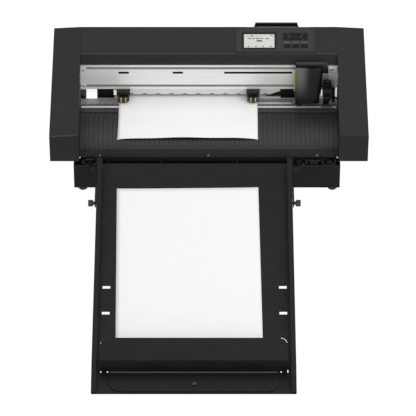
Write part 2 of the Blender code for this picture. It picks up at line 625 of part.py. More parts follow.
hx = STOP_W / 2
stop_prof = [(STOP_FOOT - 0.75, 0.5), (STOP_T - 0.75, STOP_H - 0.6), (506.0, 41.6), (506.0, 43.2),
             (STOP_T + 0.75, STOP_H + 0.7), (STOP_FOOT + 0.75, 2.0), (610.0, 2.0), (610.0, 0.5)]
stopper = make("tray_stopper", [[tray_pt(TRAY_MID + x, t, n) for t, n in stop_prof]
                                for x in (-hx, hx)])
cuts = []
for s in (-1, 1):       # round corners of the front lip, then relief and corners of the flange
    r = 15.0
    corner = [(TRAY_MID + s * (hx - r + r * math.cos(math.radians(a))),
               506 + r - r * math.sin(math.radians(a))) for a in range(10, 81, 10)]
    corner += [(TRAY_MID + s * (hx - r), 500), (TRAY_MID + s * (hx + 4), 500),
               (TRAY_MID + s * (hx + 4), 507 + r)]
    cuts.append(prism_t("corner", corner, 36, 50))
    r, fx = 25.0, 170.5
    edge = [(TRAY_MID + s * fx, 550)]
    edge += [(TRAY_MID + s * (fx - r + r * math.cos(math.radians(a))),
              610 - r + r * math.sin(math.radians(a))) for a in range(0, 85, 12)]
    edge += [(TRAY_MID + s * (fx - r), 620), (TRAY_MID + s * 200, 620),
             (TRAY_MID + s * 200, 550)]
    cuts.append(prism_t("edge", edge, -3, 4))
combine(stopper, cuts)
tabs = [make("tab", [[tray_pt(x + sx, t, n) for t, n in
                      ((STOP_FOOT - 1.5, -1.0), (STOP_FOOT - 1.5, 6.0), (STOP_FOOT - 0.2, 6.0),
                       (STOP_FOOT - 0.2, -1.0))] for sx in (-TAB_HALF, TAB_HALF)]) for x in SLOT_X]
combine(stopper, tabs, "UNION")
hole = turned("c", "t", (TRAY_MID, SCREW_T, -5), [(0, 3.4), (12, 3.4)], 20)
combine(stopper, [hole])
finish(stopper, "tray")
screw = turned("stopper_screw", "t", (TRAY_MID, SCREW_T, 0), [
    (0.4, 2.9), (2.3, 2.9), (2.3, 5.9), (5.2, 5.9), (6.4, 4.2)], 24)
finish(screw, "steel", origin=tray_pt(TRAY_MID, SCREW_T, 2.0), smooth=True)

# cut sheet, laid on the tray a little askew
cx, ct, half_w, half_l = -42.0, 311.5, 148.5, 241.5
turn = math.radians(0.7)
cut = []
for dx, dt in ((-half_w, -half_l), (half_w, -half_l), (half_w, half_l), (-half_w, half_l)):
    cut.append((cx + dx * math.cos(turn) + dt * math.sin(turn),
                ct - dx * math.sin(turn) + dt * math.cos(turn)))
sheet = prism_t("cut_sheet", cut, 0.15, 0.4)
finish(sheet, "paper")
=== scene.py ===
"""Looks of a desktop vinyl cutter with a catch tray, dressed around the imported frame.

Positions are worked out in millimetres: x to the right, b back from the front crease of the
side covers, z up from the floor. The frame itself is in metres, front towards -Y.
"""
import math

import bmesh
import bpy
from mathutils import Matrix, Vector


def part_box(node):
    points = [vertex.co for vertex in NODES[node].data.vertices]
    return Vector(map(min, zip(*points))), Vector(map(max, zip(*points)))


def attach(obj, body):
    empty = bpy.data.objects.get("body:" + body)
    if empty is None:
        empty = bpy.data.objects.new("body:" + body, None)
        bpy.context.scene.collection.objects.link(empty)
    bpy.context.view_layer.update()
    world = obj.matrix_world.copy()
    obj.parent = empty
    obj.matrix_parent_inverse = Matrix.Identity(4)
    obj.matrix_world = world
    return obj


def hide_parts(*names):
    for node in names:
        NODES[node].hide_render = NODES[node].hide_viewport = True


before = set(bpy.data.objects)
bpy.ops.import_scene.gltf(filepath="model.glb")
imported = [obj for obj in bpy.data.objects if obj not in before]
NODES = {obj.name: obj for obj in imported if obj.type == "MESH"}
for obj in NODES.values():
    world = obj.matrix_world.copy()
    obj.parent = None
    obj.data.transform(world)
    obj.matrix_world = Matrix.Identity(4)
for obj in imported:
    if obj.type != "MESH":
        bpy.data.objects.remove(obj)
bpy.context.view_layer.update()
MM = 0.001
B0 = 137.237                    # b 0 lies this far behind the frame's origin
TOP_B, TOP_Z, CREASE_Z = 253.6, 265.0, 171.0    # top edge and front crease of the covers
SLOPE = math.atan2(TOP_Z - CREASE_Z, TOP_B)
TRAY_SLOPE = math.radians(9.04)
TRAY_TOP = (-5.0, 98.7)         # b and z of the tray bed's upper end
CAMERA_TILT = 50.0              # degrees from straight down
CAMERA_X, CAMERA_Y, CAMERA_Z = -0.002, -5.3265, 4.441

# ------------------------------------------------------------------ camera, light and floor
cam_data = bpy.data.cameras.new("camera")
cam_data.lens = 281.25
cam_data.sensor_width = 36.0
cam_data.clip_end = 60.0
cam = bpy.data.objects.new("camera", cam_data)
cam.location = (CAMERA_X, B0 * MM + CAMERA_Y, CAMERA_Z)
cam.rotation_euler = (math.radians(CAMERA_TILT), 0.0, 0.0)
bpy.context.scene.collection.objects.link(cam)
bpy.context.scene.camera = cam
bpy.context.scene.view_settings.view_transform = "Standard"

world = bpy.data.worlds.new("studio")
bpy.context.scene.world = world
world.use_nodes = True
sky = world.node_tree.nodes["Background"]
sky.inputs["Color"].default_value = (1.0, 1.0, 1.0, 1)
sky.inputs["Strength"].default_value = 0.74


def area_light(name, at, target, size, power):
    data = bpy.data.lights.new(name, "AREA")
    data.shape = "RECTANGLE"
    data.size, data.size_y = size
    data.energy = power
    obj = bpy.data.objects.new(name, data)
    obj.location = at
    obj.rotation_euler = (Vector(target) - Vector(at)).to_track_quat("-Z", "Y").to_euler()
    bpy.context.scene.collection.objects.link(obj)


area_light("softbox_top", (0.1, 0.5, 2.4), (0, 0.1, 0.1), (2.6, 1.6), 13)
area_light("softbox_right", (2.3, -0.6, 1.9), (0, 0, 0.1), (1.4, 1.6), 17)
area_light("softbox_front", (1.7, -3.0, 2.0), (0, 0.1, 0.15), (1.8, 1.2), 20)


# ------------------------------------------------------------------ points and meshes
def P(x, b, z):
    return Vector((x * MM, (b + B0) * MM, z * MM))


def A(x, u, n):
    """On the sloping panel face: u down the slope, n square to it."""
    return P(x, TOP_B - u * math.cos(SLOPE) - n * math.sin(SLOPE),
             TOP_Z - u * math.sin(SLOPE) + n * math.cos(SLOPE))


def T(x, t, n):
    """On the tray: t down its length, n square to its bed."""
    return P(x, TRAY_TOP[0] - t * math.cos(TRAY_SLOPE) - n * math.sin(TRAY_SLOPE),
             TRAY_TOP[1] - t * math.sin(TRAY_SLOPE) + n * math.cos(TRAY_SLOPE))


SHARP = math.radians(38)         # faces meeting at more than this stay sharp
BEVEL_FROM = math.radians(32)


def piece(name, verts, faces, body, material, slot=None, smooth=False, bevel=0.0):
    """Mesh of its own, riding on a body; bevel is in millimetres."""
    me = bpy.data.meshes.new(name)
    me.from_pydata([tuple(v) for v in verts], [], faces)
    bm = bmesh.new()
    bm.from_mesh(me)
    bmesh.ops.recalc_face_normals(bm, faces=bm.faces)
    bm.to_mesh(me)
    bm.free()
    me.materials.append(material)
    obj = bpy.data.objects.new(name, me)
    bpy.context.scene.collection.objects.link(obj)
    if smooth:
        me.shade_smooth()
        me.set_sharp_from_angle(angle=SHARP)
    if bevel:
        add_bevel(obj, bevel)
    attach(obj, body)
    return obj


def add_bevel(obj, width, edge=None):
    """Rounds the edges; edge is a material for the rounded band, a lighter band of painted
    highlight with some wear.
    """
    mod = obj.modifiers.new("edge", "BEVEL")
    if edge:
        obj.data.materials.append(edge)
        mod.material = len(obj.data.materials) - 1
    mod.width = width * MM
    mod.segments = 2
    mod.limit_method = "ANGLE"
    mod.angle_limit = BEVEL_FROM


class Shape:
    """Collects closed solids into one mesh."""

    def __init__(self):
        self.verts, self.faces = [], []

    def rings(self, rings, closed=False):
        """Skin over equal rings; capped at both ends, or joined up into a loop if closed."""
        base = len(self.verts)
        n = len(rings[0])
        for ring in rings:
            self.verts.extend(ring)
        count = len(rings)
        for k in range(count if closed else count - 1):
            a, c = base + k * n, base + ((k + 1) % count) * n
            for i in range(n):
                j = (i + 1) % n
                self.faces.append((a + i, a + j, c + j, c + i))
        if not closed:
            self.faces.append(tuple(base + i for i in reversed(range(n))))
            self.faces.append(tuple(base + (count - 1) * n + i for i in range(n)))
        return self

    def prism(self, point, prof, lo, hi):
        """Profile raised from lo to hi, through the point function P, A or T."""
        return self.rings([[point(p, q, h) for p, q in prof] for h in (lo, hi)])

    def box(self, xs, bs, zs):
        prof = [(xs[0], bs[0]), (xs[1], bs[0]), (xs[1], bs[1]), (xs[0], bs[1])]
        return self.prism(P, prof, *zs)

    def turned(self, axis, at, prof, segs=28, flutes=0, depth=0.0):
        """Round solid about x, z or b, a (square to the panel) or t (square to the tray).

        Rows of prof are (way along the axis, radius) with a third value where it is fluted.
        """
        rings = []
        for row in prof:
            s, r = row[:2]
            cut = depth if len(row) > 2 and row[2] else 0.0
            ring = []
            for k in range(segs):
                a = 2 * math.pi * k / segs
                rr = r - (cut if flutes and k % 2 else 0.0)
                c, d = rr * math.cos(a), rr * math.sin(a)
                if axis == "x":
                    ring.append(P(at[0] + s, at[1] + c, at[2] + d))
                elif axis == "z":
                    ring.append(P(at[0] + c, at[1] + d, at[2] + s))
                elif axis == "b":
                    ring.append(P(at[0] + c, at[1] + s, at[2] + d))
                elif axis == "a":
                    ring.append(A(at[0] + c, at[1] + d, at[2] + s))
                else:
                    ring.append(T(at[0] + c, at[1] + d, at[2] + s))
            rings.append(ring)
        return self.rings(rings)

    def make(self, name, body, material, **kw):
        return piece(name, self.verts, self.faces, body, material, **kw)


# ------------------------------------------------------------------ materials
def surface(name, base, rough=0.5, metal=0.0, grain=(1800.0, 0.08), mottle=(30.0, 0.06),
            bump=(2600.0, 0.12, 0.15), stretch=None, coat=0.0, coat_rough=0.1, spec=0.5):
    """Painted, moulded or metal surface with fine grain, slow mottling and bump."""
    mat = bpy.data.materials.new(name)
    mat.use_nodes = True
    nt = mat.node_tree
    bsdf = nt.nodes["Principled BSDF"]
    bsdf.inputs["Metallic"].default_value = metal
    bsdf.inputs["Coat Weight"].default_value = coat
    bsdf.inputs["Coat Roughness"].default_value = coat_rough
    bsdf.inputs["Specular IOR Level"].default_value = spec
    coord = nt.nodes.new("ShaderNodeTexCoord")
    vector = coord.outputs["Object"]
    if stretch:
        mapping = nt.nodes.new("ShaderNodeMapping")
        mapping.inputs["Scale"].default_value = stretch
        nt.links.new(vector, mapping.inputs["Vector"])
        vector = mapping.outputs["Vector"]

    def noise(scale, detail):
        node = nt.nodes.new("ShaderNodeTexNoise")
        node.inputs["Scale"].default_value = scale
        node.inputs["Detail"].default_value = detail
        nt.links.new(vector, node.inputs["Vector"])
        return node.outputs["Fac"]

    def spread(value, lo, hi):
        node = nt.nodes.new("ShaderNodeMapRange")
        node.inputs["From Min"].default_value = 0.3
        node.inputs["From Max"].default_value = 0.7
        node.inputs["To Min"].default_value = lo
        node.inputs["To Max"].default_value = hi
        nt.links.new(value, node.inputs["Value"])
        return node.outputs["Result"]

    fine = noise(grain[0], 2.0)
    slow = noise(mottle[0], 3.0)
    tone = nt.nodes.new("ShaderNodeMath")
    tone.operation = "MULTIPLY"
    nt.links.new(spread(fine, 1 - grain[1], 1 + grain[1]), tone.inputs[0])
    nt.links.new(spread(slow, 1 - mottle[1], 1 + mottle[1]), tone.inputs[1])
    mix = nt.nodes.new("ShaderNodeVectorMath")
    mix.operation = "SCALE"
    mix.inputs[0].default_value = base[:3]
    nt.links.new(tone.outputs[0], mix.inputs["Scale"])
    nt.links.new(mix.outputs[0], bsdf.inputs["Base Color"])
    nt.links.new(spread(slow, max(0.03, rough - 0.06), min(1, rough + 0.06)),
                 bsdf.inputs["Roughness"])
    if bump:
        node = nt.nodes.new("ShaderNodeBump")
        node.inputs["Strength"].default_value = bump[1]
        node.inputs["Distance"].default_value = bump[2] * MM
        nt.links.new(noise(bump[0], 2.0), node.inputs["Height"])
        nt.links.new(node.outputs["Normal"], bsdf.inputs["Normal"])
    return mat


def grey(level, tint=(1.0, 1.0, 1.0)):
    """Screen level 0-255 as a linear colour."""
    c = level / 255.0
    lin = c / 12.92 if c <= 0.04045 else ((c + 0.055) / 1.055) ** 2.4
    return tuple(lin * t for t in tint)


M = {
    "cover": surface("charcoal_cover", grey(24), 0.52, bump=(1500.0, 0.3, 0.12), spec=0.28),
    # lighter band on the covers' bevelled edges: painted highlight with some wear
    "cover_edge_highlight": surface("charcoal_edge_highlight", grey(112), 0.42, grain=(900, 0.12),
                          bump=(1500.0, 0.2, 0.1)),
    # darker copy of the cover for its front faces: painted shade
    "cover_front_shade": surface("charcoal_front_shade", grey(15), 0.52, bump=(1500.0, 0.3, 0.12), spec=0.24),
    # lighter bands on the tray's and the base's bevelled edges: painted highlight with some wear
    "tray_edge_highlight": surface("tray_edge_highlight", grey(84), 0.42, grain=(900, 0.15), bump=(1300.0, 0.3, 0.1)),
    "base_edge_highlight": surface("base_edge_highlight", grey(52), 0.42, grain=(900, 0.15), bump=(1300.0, 0.3, 0.1)),
    "bezel": surface("panel_bezel_grey", grey(38), 0.5, bump=(1800.0, 0.2, 0.1), spec=0.3),
    "key": surface("key_grey", grey(15), 0.5, bump=(1800.0, 0.15, 0.08), spec=0.16),
    "apron": surface("apron_black", grey(37, (1, 0.97, 1.02)), 0.4, bump=(1200.0, 0.25, 0.12),
                     spec=0.35),
    "base": surface("base_black", grey(6), 0.5, bump=(1400.0, 0.35, 0.12), spec=0.16),
    "tray": surface("tray_black", grey(15), 0.52, grain=(1400, 0.12), bump=(1300.0, 0.4, 0.12),
                    spec=0.22),
    "black": surface("moulded_black", grey(24), 0.45),
    "dark": surface("shadow_black", grey(12), 0.6, spec=0.3),
    # darker copy of the apron for its band below the crease: painted shade
    "apron_low": surface("apron_low_painted_shade", grey(29), 0.5, bump=(1200.0, 0.25, 0.12), spec=0.2),
    # lighter grey for the step: painted highlight
    "step": surface("apron_step_painted_highlight", grey(50), 0.4, bump=(1200.0, 0.2, 0.1)),
    "pen": surface("pen_black", grey(12), 0.35, spec=0.4),
    "gloss": surface("gloss_black", grey(16), 0.24, mottle=(14, 0.1), bump=(700, 0.02, 0.05),
                     coat=0.1, coat_rough=0.1, spec=0.35),
    "rubber": surface("rubber_black", grey(30), 0.72, bump=(2200, 0.4, 0.1)),
    "rail": surface("anodised_rail", grey(238), 0.34, 0.25, grain=(900, 0.03),
                    mottle=(60, 0.03), bump=(900, 0.06, 0.05), stretch=(0.04, 1, 1)),
    "groove": surface("rail_groove", grey(150, (1.0, 0.9, 0.76)), 0.6, 0.1,
                      grain=(600, 0.1), stretch=(0.1, 1, 1)),
    "steel": surface("zinc_steel", grey(196), 0.36, 0.7, grain=(700, 0.07), mottle=(90, 0.08),
                     bump=(900, 0.08, 0.05)),
    "bright": surface("bright_steel", grey(214), 0.22, 0.9, grain=(600, 0.04)),
    "plate": surface("light_plate", grey(222), 0.42, 0.1, grain=(900, 0.03)),
    "platen": surface("platen_grey", grey(142), 0.4, 0.3, grain=(900, 0.06),
                      stretch=(0.15, 1, 1)),
    "strip": surface("cutting_strip_mat", grey(206), 0.48, grain=(1200, 0.05)),
    "grit": surface("grit_steel", grey(176), 0.6, 0.3, grain=(2400, 0.4), bump=(2600, 0.9, 0.2)),
    "brass": surface("brass_ring", grey(176, (1.0, 0.74, 0.36)), 0.3, 0.85, grain=(900, 0.08)),
    "blue": surface("blue_tip", (0.012, 0.045, 0.14), 0.4),
    "yellow": surface("yellow_strip", (0.72, 0.6, 0.05), 0.45),
    "paper": surface("white_paper", grey(240), 0.75, grain=(2400, 0.012), mottle=(40, 0.008),
                     bump=(1500, 0.12, 0.05), spec=0.25),
    "lcd": surface("display_pale", grey(200, (0.98, 1.0, 0.93)), 0.35, grain=(4000, 0.02),
                   mottle=(20, 0.03), bump=None),
    "key_label": surface("key_label_grey", grey(84), 0.6),
    # grey for the key wells and for the painted highlight on the bezel's right edge
    "well": surface("well_and_highlight_grey", grey(46), 0.5, spec=0.3),
    # light grey for the lever's web and for the painted highlight on the top cover's edge
    "web": surface("web_and_highlight_grey", grey(92), 0.5),
    # lighter grey for strips on edges: painted highlight with some wear
    "worn": surface("wear_and_highlight_edge", grey(46), 0.48, grain=(900, 0.12), spec=0.3),
    "lcd_ink": surface("display_ink", grey(70), 0.5),
    "bushing": surface("bushing_grey", grey(40), 0.5),
    # very dark: printed marks and black parts, and also painted shade in gaps and on the carriage's
    # right side
    "mark": surface("mark_and_shade_black", grey(6), 0.6, spec=0.2),
    "pan": surface("pan_black", grey(6), 0.6, spec=0.15),
    "white": surface("white_plastic_painted_glow", grey(248), 0.5, bump=(1500, 0.05, 0.05)),
    "knob": surface("knob_black", grey(30), 0.3, spec=0.6),
    # lighter grey for the bend: painted highlight
    "bend": surface("bend_painted_highlight", grey(66), 0.3, bump=(1300.0, 0.2, 0.1), spec=0.5),
    # grey for the guide's notches: painted shade of the gap seen through them
    "notch": surface("notch_shade_grey", grey(120), 0.6),
    "board": surface("circuit_green", (0.001, 0.007, 0.006), 0.45, grain=(300, 0.2)),
    "gap": surface("gap_black", grey(9), 0.6, spec=0.2),
    "chip": surface("chip_black", grey(28), 0.35),
    "screw": surface("blackened_steel", grey(120), 0.35, 0.6, grain=(700, 0.07)),
}

M["window"] = surface("display_window", (0.9, 0.92, 0.86), 0.12, grain=(900, 0.02), bump=None)
window_shader = M["window"].node_tree.nodes["Principled BSDF"]
window_shader.inputs["Alpha"].default_value = 0.22
window_shader.inputs["IOR"].default_value = 1.49


def glow(material, strength):
    """Lets a white surface keep its brightness in shadow."""
    shader = material.node_tree.nodes["Principled BSDF"]
    shader.inputs["Emission Color"].default_value = (1, 1, 1, 1)
    shader.inputs["Emission Strength"].default_value = strength


# the white parts are made to glow: painted light that keeps them bright in shade
glow(M["white"], 0.45)

# ------------------------------------------------------------------ CAD pieces that stay
# material and bevel width in millimetres of each node
LOOK = {
    "left_side_cover": ("cover", 1.8), "right_side_cover": ("cover", 1.8),
    "top_cover": ("cover", 1.5), "panel_bezel": ("bezel", 0.5), "control_board": ("board", 0),
    "rear_guide": ("plate", 0), "chassis_pan": ("pan", 0.3), "main_board": ("board", 0),
    "left_frame_plate": ("steel", 0), "right_frame_plate": ("steel", 0),
    "platen": ("platen", 0.2), "cutting_strip": ("strip", 0.3), "y_rail": ("rail", 0.4),
    "rail_bracket_right": ("rail", 0.5), "rail_bracket_left": ("rail", 0.5),
    "guide_plate": ("plate", 0.2), "holder_track": ("dark", 0.3), "grit_roller": ("grit", 0),
    "feed_motor": ("black", 0.8), "carriage_motor": ("black", 0.8),
    "drive_pulley": ("steel", 0), "idler_pulley": ("steel", 0), "carriage_belt": ("rubber", 0),
    "carriage_slider": ("black", 0.4), "carriage_cover": ("gloss", 1.3),
    "tool_block": ("black", 0.7), "blade_holder": ("pen", 0), "lift_shaft": ("bright", 0),
    "set_lever": ("pen", 1.2), "display_glass": ("window", 0), "base_frame": ("base", 1.0),
    "tray_arm_left": ("tray", 0.3), "tray_arm_right": ("tray", 0.3), "tray": ("tray", 0.35),
    "tray_stopper": ("tray", 0.6),
}
for side in ("left", "right"):
    LOOK["push_holder_" + side] = ("black", 0.6)
    LOOK["push_arm_" + side] = ("black", 0.3)
    LOOK["push_wheel_" + side] = ("rubber", 0)
    for end in ("front", "rear"):
        LOOK["foot_%s_%s" % (end, side)] = ("rubber", 0)
for key in ("left", "right", "up", "down", "menu_1", "menu_2", "menu_3"):
    LOOK["key_" + key] = ("key", 0.5)
EDGES = {"cover": "cover_edge_highlight", "tray": "tray_edge_highlight", "base": "base_edge_highlight"}    # lighter edge bands: painted highlight with some wear
for name, (look, bevel) in LOOK.items():
    obj = NODES[name]
    obj.data.materials.clear()
    obj.data.materials.append(M[look])
    if bevel:
        add_bevel(obj, bevel, edge=M.get(EDGES.get(look)))


def tint_faces(me, material, wanted):
    """Gives the faces that pass the test a material of their own."""
    me.materials.append(material)
    index = len(me.materials) - 1
    for face in me.polygons:
        if wanted(face):
            face.material_index = index


for side, inward in (("left", 1), ("right", -1)):
    # the side covers' front faces get the darker copy: painted shade
    tint_faces(NODES[side + "_side_cover"].data, M["cover_front_shade"], lambda face: face.normal.y < -0.9)
    # the frame plates' outward faces are made dark: painted shade in the gap under the covers
    tint_faces(NODES[side + "_frame_plate"].data, M["base"],
               lambda face: face.normal.x * inward < 0.5)


def span(node):
    """Lowest and highest x, b and z of a CAD node, in millimetres."""
    lo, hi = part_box(node)
    return (lo.x / MM, hi.x / MM), (lo.y / MM - B0, hi.y / MM - B0), (lo.z / MM, hi.z / MM)


# ------------------------------------------------------------------ painted highlight with some wear on the covers' edges
def crease_line(name, ends, above, below, material):
    """Thin lighter strip folded over an edge, a painted highlight with some wear; ends are the
    edge's two ends as (x, b, z).

    above and below are how far the strip reaches along b and z on either side of the edge.
    """
    lift = 0.06
    (ab, az), (bb, bz) = above, below
    section = [(ab, az + lift), (-lift, lift), (bb - lift, bz), (bb + 0.2, bz), (0.3, -0.2),
               (ab, az - 0.1)]
    Shape().rings([[P(x, b + db, z + dz) for db, dz in section] for x, b, z in ends]).make(
        name, "machine", material)


FRONT_EDGE = ((-335.6, 0.0, CREASE_Z - 3.5), (-275.0, 0.0, CREASE_Z))
crease_line("left_cover_crease", FRONT_EDGE, (1.6, 1.6 * math.tan(SLOPE)), (0.05, -2.0),
            M["worn"])
TOP_EDGE_B = 189.0
top_edge_z = CREASE_Z + TOP_EDGE_B * math.tan(SLOPE)
crease_line("top_cover_crease", [(x, TOP_EDGE_B, top_edge_z) for x in (-273.8, 273.8)],
            (1.8, 1.8 * math.tan(SLOPE)), (-0.3, -0.55), M["worn"])
crease_line("top_cover_lip", [(x, 178.0, 221.0) for x in (-273.8, 180.0)], (1.0, 1.8), (0.8, -0.1),
            M["worn"])

# ------------------------------------------------------------------ front apron with ribs
RIB_PITCH, RIB_DEPTH = 10.0, 0.45
RIB_START = -265.4
RIB_HALF = 0.6                  # half the width of a rib groove at the surface
APRON_MID = (128.0, 90.5)       # centre of the quarter ellipse
APRON_AXES = (103.0, 38.5)
APRON_WALL = 2.4
RIB_END = 66                    # degrees from the top of the curve where the ribs stop
CREASE_DEPTH = 0.5


def apron_section(x, cut):
    """Section of the apron at x; cut is how deep a rib groove is there."""
    ring = []
    for deg in range(0, 91, 3):
        a = math.radians(deg)
        fade = min(1.0, (RIB_END - deg) / 4.0, deg / 4.0) if deg < RIB_END else 0.0
        sunk = cut * fade + (CREASE_DEPTH if deg == RIB_END else 0.0)
        ring.append(P(x, APRON_MID[0] - (APRON_AXES[0] - sunk) * math.sin(a),
                      APRON_MID[1] + (APRON_AXES[1] - sunk) * math.cos(a)))
    for deg in range(90, -1, -10):
        a = math.radians(deg)
        ring.append(P(x, APRON_MID[0] - (APRON_AXES[0] - APRON_WALL) * math.sin(a),
                      APRON_MID[1] + (APRON_AXES[1] - APRON_WALL) * math.cos(a)))
    ring += [P(x, 145.0, 126.6), P(x, 145.0, 129.5), P(x, 132.0, 129.5), P(x, 131.0, 128.4)]
    return ring


(apron_x0, apron_x1), _, _ = span("front_apron")
sections = [apron_section(apron_x0, 0.0)]
x = RIB_START
while x < apron_x1 - 2:
    for dx, cut in ((-RIB_HALF, 0.0), (-0.2, RIB_DEPTH), (0.2, RIB_DEPTH), (RIB_HALF, 0.0)):
        sections.append(apron_section(x + dx, cut))
    x += RIB_PITCH
sections.append(apron_section(apron_x1, 0.0))
apron = Shape().rings(sections).make("apron_panel", "machine", M["apron"], slot="front_apron",
                                     smooth=True)
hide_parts("front_apron")
# the apron's faces below the crease get the darker copy: painted shade
crease_z = APRON_MID[1] + APRON_AXES[1] * math.cos(math.radians(RIB_END))
tint_faces(apron.data, M["apron_low"], lambda face: face.center.z / MM < crease_z)


def pan_screw(name, axis, at, r, body, material):
    """Domed screw head standing out towards the front."""
    s = Shape()
    s.turned(axis, at, [(0.0, r), (-0.5, r), (-1.1, 0.82 * r), (-1.5, 0.45 * r)], 20)
    return s.make(name, body, material, smooth=True)


for i, x in enumerate((-231.5, -1.5, 229.0), 1):
    pan_screw("apron_screw_%d" % i, "b", (x, 26.0, 95.4), 2.5, "machine", M["screw"])

# ------------------------------------------------------------------ marks and strips of the rail
_, (rail_b0, _), _ = span("y_rail")
tint_faces(NODES["y_rail"].data, M["groove"],
           lambda face: rail_b0 + 0.5 < face.center.y / MM - B0 < rail_b0 + 3)
MARK_Z = (195.3, 200.6)
MARK_R = 1.2
for i, (x0, x1) in enumerate(((-193.4, -171.0), (-77.6, -55.4), (32.5, 178.1)), 1):
    r = MARK_R
    outline = []
    for cx, cz, a0 in ((x1 - r, MARK_Z[0] + r, -90), (x1 - r, MARK_Z[1] - r, 0),
                       (x0 + r, MARK_Z[1] - r, 90), (x0 + r, MARK_Z[0] + r, 180)):
        turns = [math.radians(a0 + a) for a in range(0, 91, 30)]
        outline += [(cx + r * math.cos(a), cz + r * math.sin(a)) for a in turns]
    s = Shape()
    s.rings([[P(px, b, pz) for px, pz in outline] for b in (rail_b0 - 0.15, rail_b0 + 0.1)])
    s.make("rail_mark_%d" % i, "machine", M["mark"])

# lighter step, a painted highlight, and dark strips of painted shade in the gaps between the apron,
# the cutting strip and the platen
Shape().box((apron_x0, apron_x1), (132.2, 144.6), (129.4, 129.56)).make(
    "apron_step", "machine", M["step"])
Shape().box((apron_x0, apron_x1), (127.0, 129.6), (128.8, 129.12)).make(
    "apron_groove", "machine", M["mark"])
Shape().box((apron_x0, apron_x1), (151.9, 156.4), (129.9, 130.05)).make(
    "strip_channel", "machine", M["mark"])

# ticks along the platen and the apron step, away from the loaded sheet
TICK_X0, TICK_PITCH, TICKS = -264.4, 15.0, 35
s = Shape()
for k in range(TICKS):
    x = TICK_X0 + TICK_PITCH * k
    if x < -196 or x > 110:
        s.turned("z", (x, 139.5, 129.5), [(0, 1.7), (0.16, 1.5)], 10)     # on the step
    if x < -196 or x > 181:
        s.turned("z", (x, 159.8, 129.95), [(0, 1.5), (0.12, 1.3)], 10)    # on the platen
s.make("register_ticks", "machine", M["mark"])

# ------------------------------------------------------------------ control panel
(bez_x0, bez_x1), _, _ = span("panel_bezel")
(lcd_x0, lcd_x1), _, _ = span("display_glass")
PANEL_U, LCD_U = (3.0, 64.0), (19.0, 54.0)


def frame_ring(name, xs, us, width, low, high, material, rise=0.6):
    """Rectangular rim on the sloping panel with a chamfered top."""
    corners = [(0, 0), (1, 0), (1, 1), (0, 1)]
    rings = []
    for cx, cu in corners:
        sx, su = (1 if cx == 0 else -1), (1 if cu == 0 else -1)
        ring = []
        for inset, n in ((0, low), (0, high - rise), (rise, high), (width - rise, high),
                         (width, high - rise), (width, low)):
            ring.append(A(xs[cx] + sx * inset, us[cu] + su * inset, n))
        rings.append(ring)
    return Shape().rings(rings, closed=True).make(name, "machine", material)


frame_ring("panel_rim", (bez_x0, bez_x1), PANEL_U, 2.4, 1.9, 2.4, M["bezel"], 0.4)
Shape().rings([[A(x, u, n) for u, n in ((63.9, 0.2), (63.9, 1.95), (67.8, 0.1))]
               for x in (bez_x0, bez_x1)]).make("panel_skirt", "machine", M["cover"])
# lighter strip along the bezel's right edge: painted highlight
edge = [(bez_x1 - 1.2, 2.3), (bez_x1 + 0.2, 2.5), (bez_x1 + 1.6, 0.2)]
Shape().rings([[A(x, u, n) for x, n in edge] for u in (4.0, 63.0)]).make(
    "panel_right_highlight", "machine", M["well"])
TOP_HIGHLIGHT_X = (80.0, 216.0)          # span of the painted highlight along the top cover's edge under the lever
Shape().rings([[A(x, u, n) for u, n in ((0.3, 0.02), (2.8, 0.02), (2.8, 0.12), (0.3, 0.12))]
               for x in TOP_HIGHLIGHT_X]).make("top_edge_painted_highlight", "machine", M["web"])
frame_ring("display_rim", (lcd_x0 - 4.2, lcd_x1 + 4.2), (LCD_U[0] - 3.9, LCD_U[1] + 3.9), 3.6,
           1.9, 2.8, M["dark"], 0.8)
FACE_N = 1.3                     # the display's face, just under its window
s = Shape()
s.prism(A, [(lcd_x0 + 0.4, LCD_U[0] + 0.7), (lcd_x1 - 0.4, LCD_U[0] + 0.7),
            (lcd_x1 - 0.4, LCD_U[1] - 0.7), (lcd_x0 + 0.4, LCD_U[1] - 0.7)], FACE_N - 0.08, FACE_N)
s.make("display_face", "machine", M["lcd"], slot="display_glass")


def key_outline(node):
    """Outline of a key's top face as (x, u) points in order."""
    top = []
    for v in NODES[node].data.vertices:
        x, b, z = v.co.x / MM, v.co.y / MM - B0, v.co.z / MM
        u = (TOP_B - b) * math.cos(SLOPE) + (TOP_Z - z) * math.sin(SLOPE)
        n = (z - TOP_Z + u * math.sin(SLOPE)) / math.cos(SLOPE)
        if n > 0 and all(math.hypot(x - p[0], u - p[1]) > 0.05 for p in top):
            top.append((x, u))
    mx = sum(p[0] for p in top) / len(top)
    mu = sum(p[1] for p in top) / len(top)
    return sorted(top, key=lambda p: math.atan2(p[1] - mu, p[0] - mx))


def dashes(name, material, rows, n):
    """Short generic bars on the panel: rows of (x, u, length, height)."""
    s = Shape()
    for x, u, length, high in rows:
        s.prism(A, [(x, u), (x + length, u), (x + length, u + high), (x, u + high)], n, n + 0.06)
    return s.make(name, "machine", material)


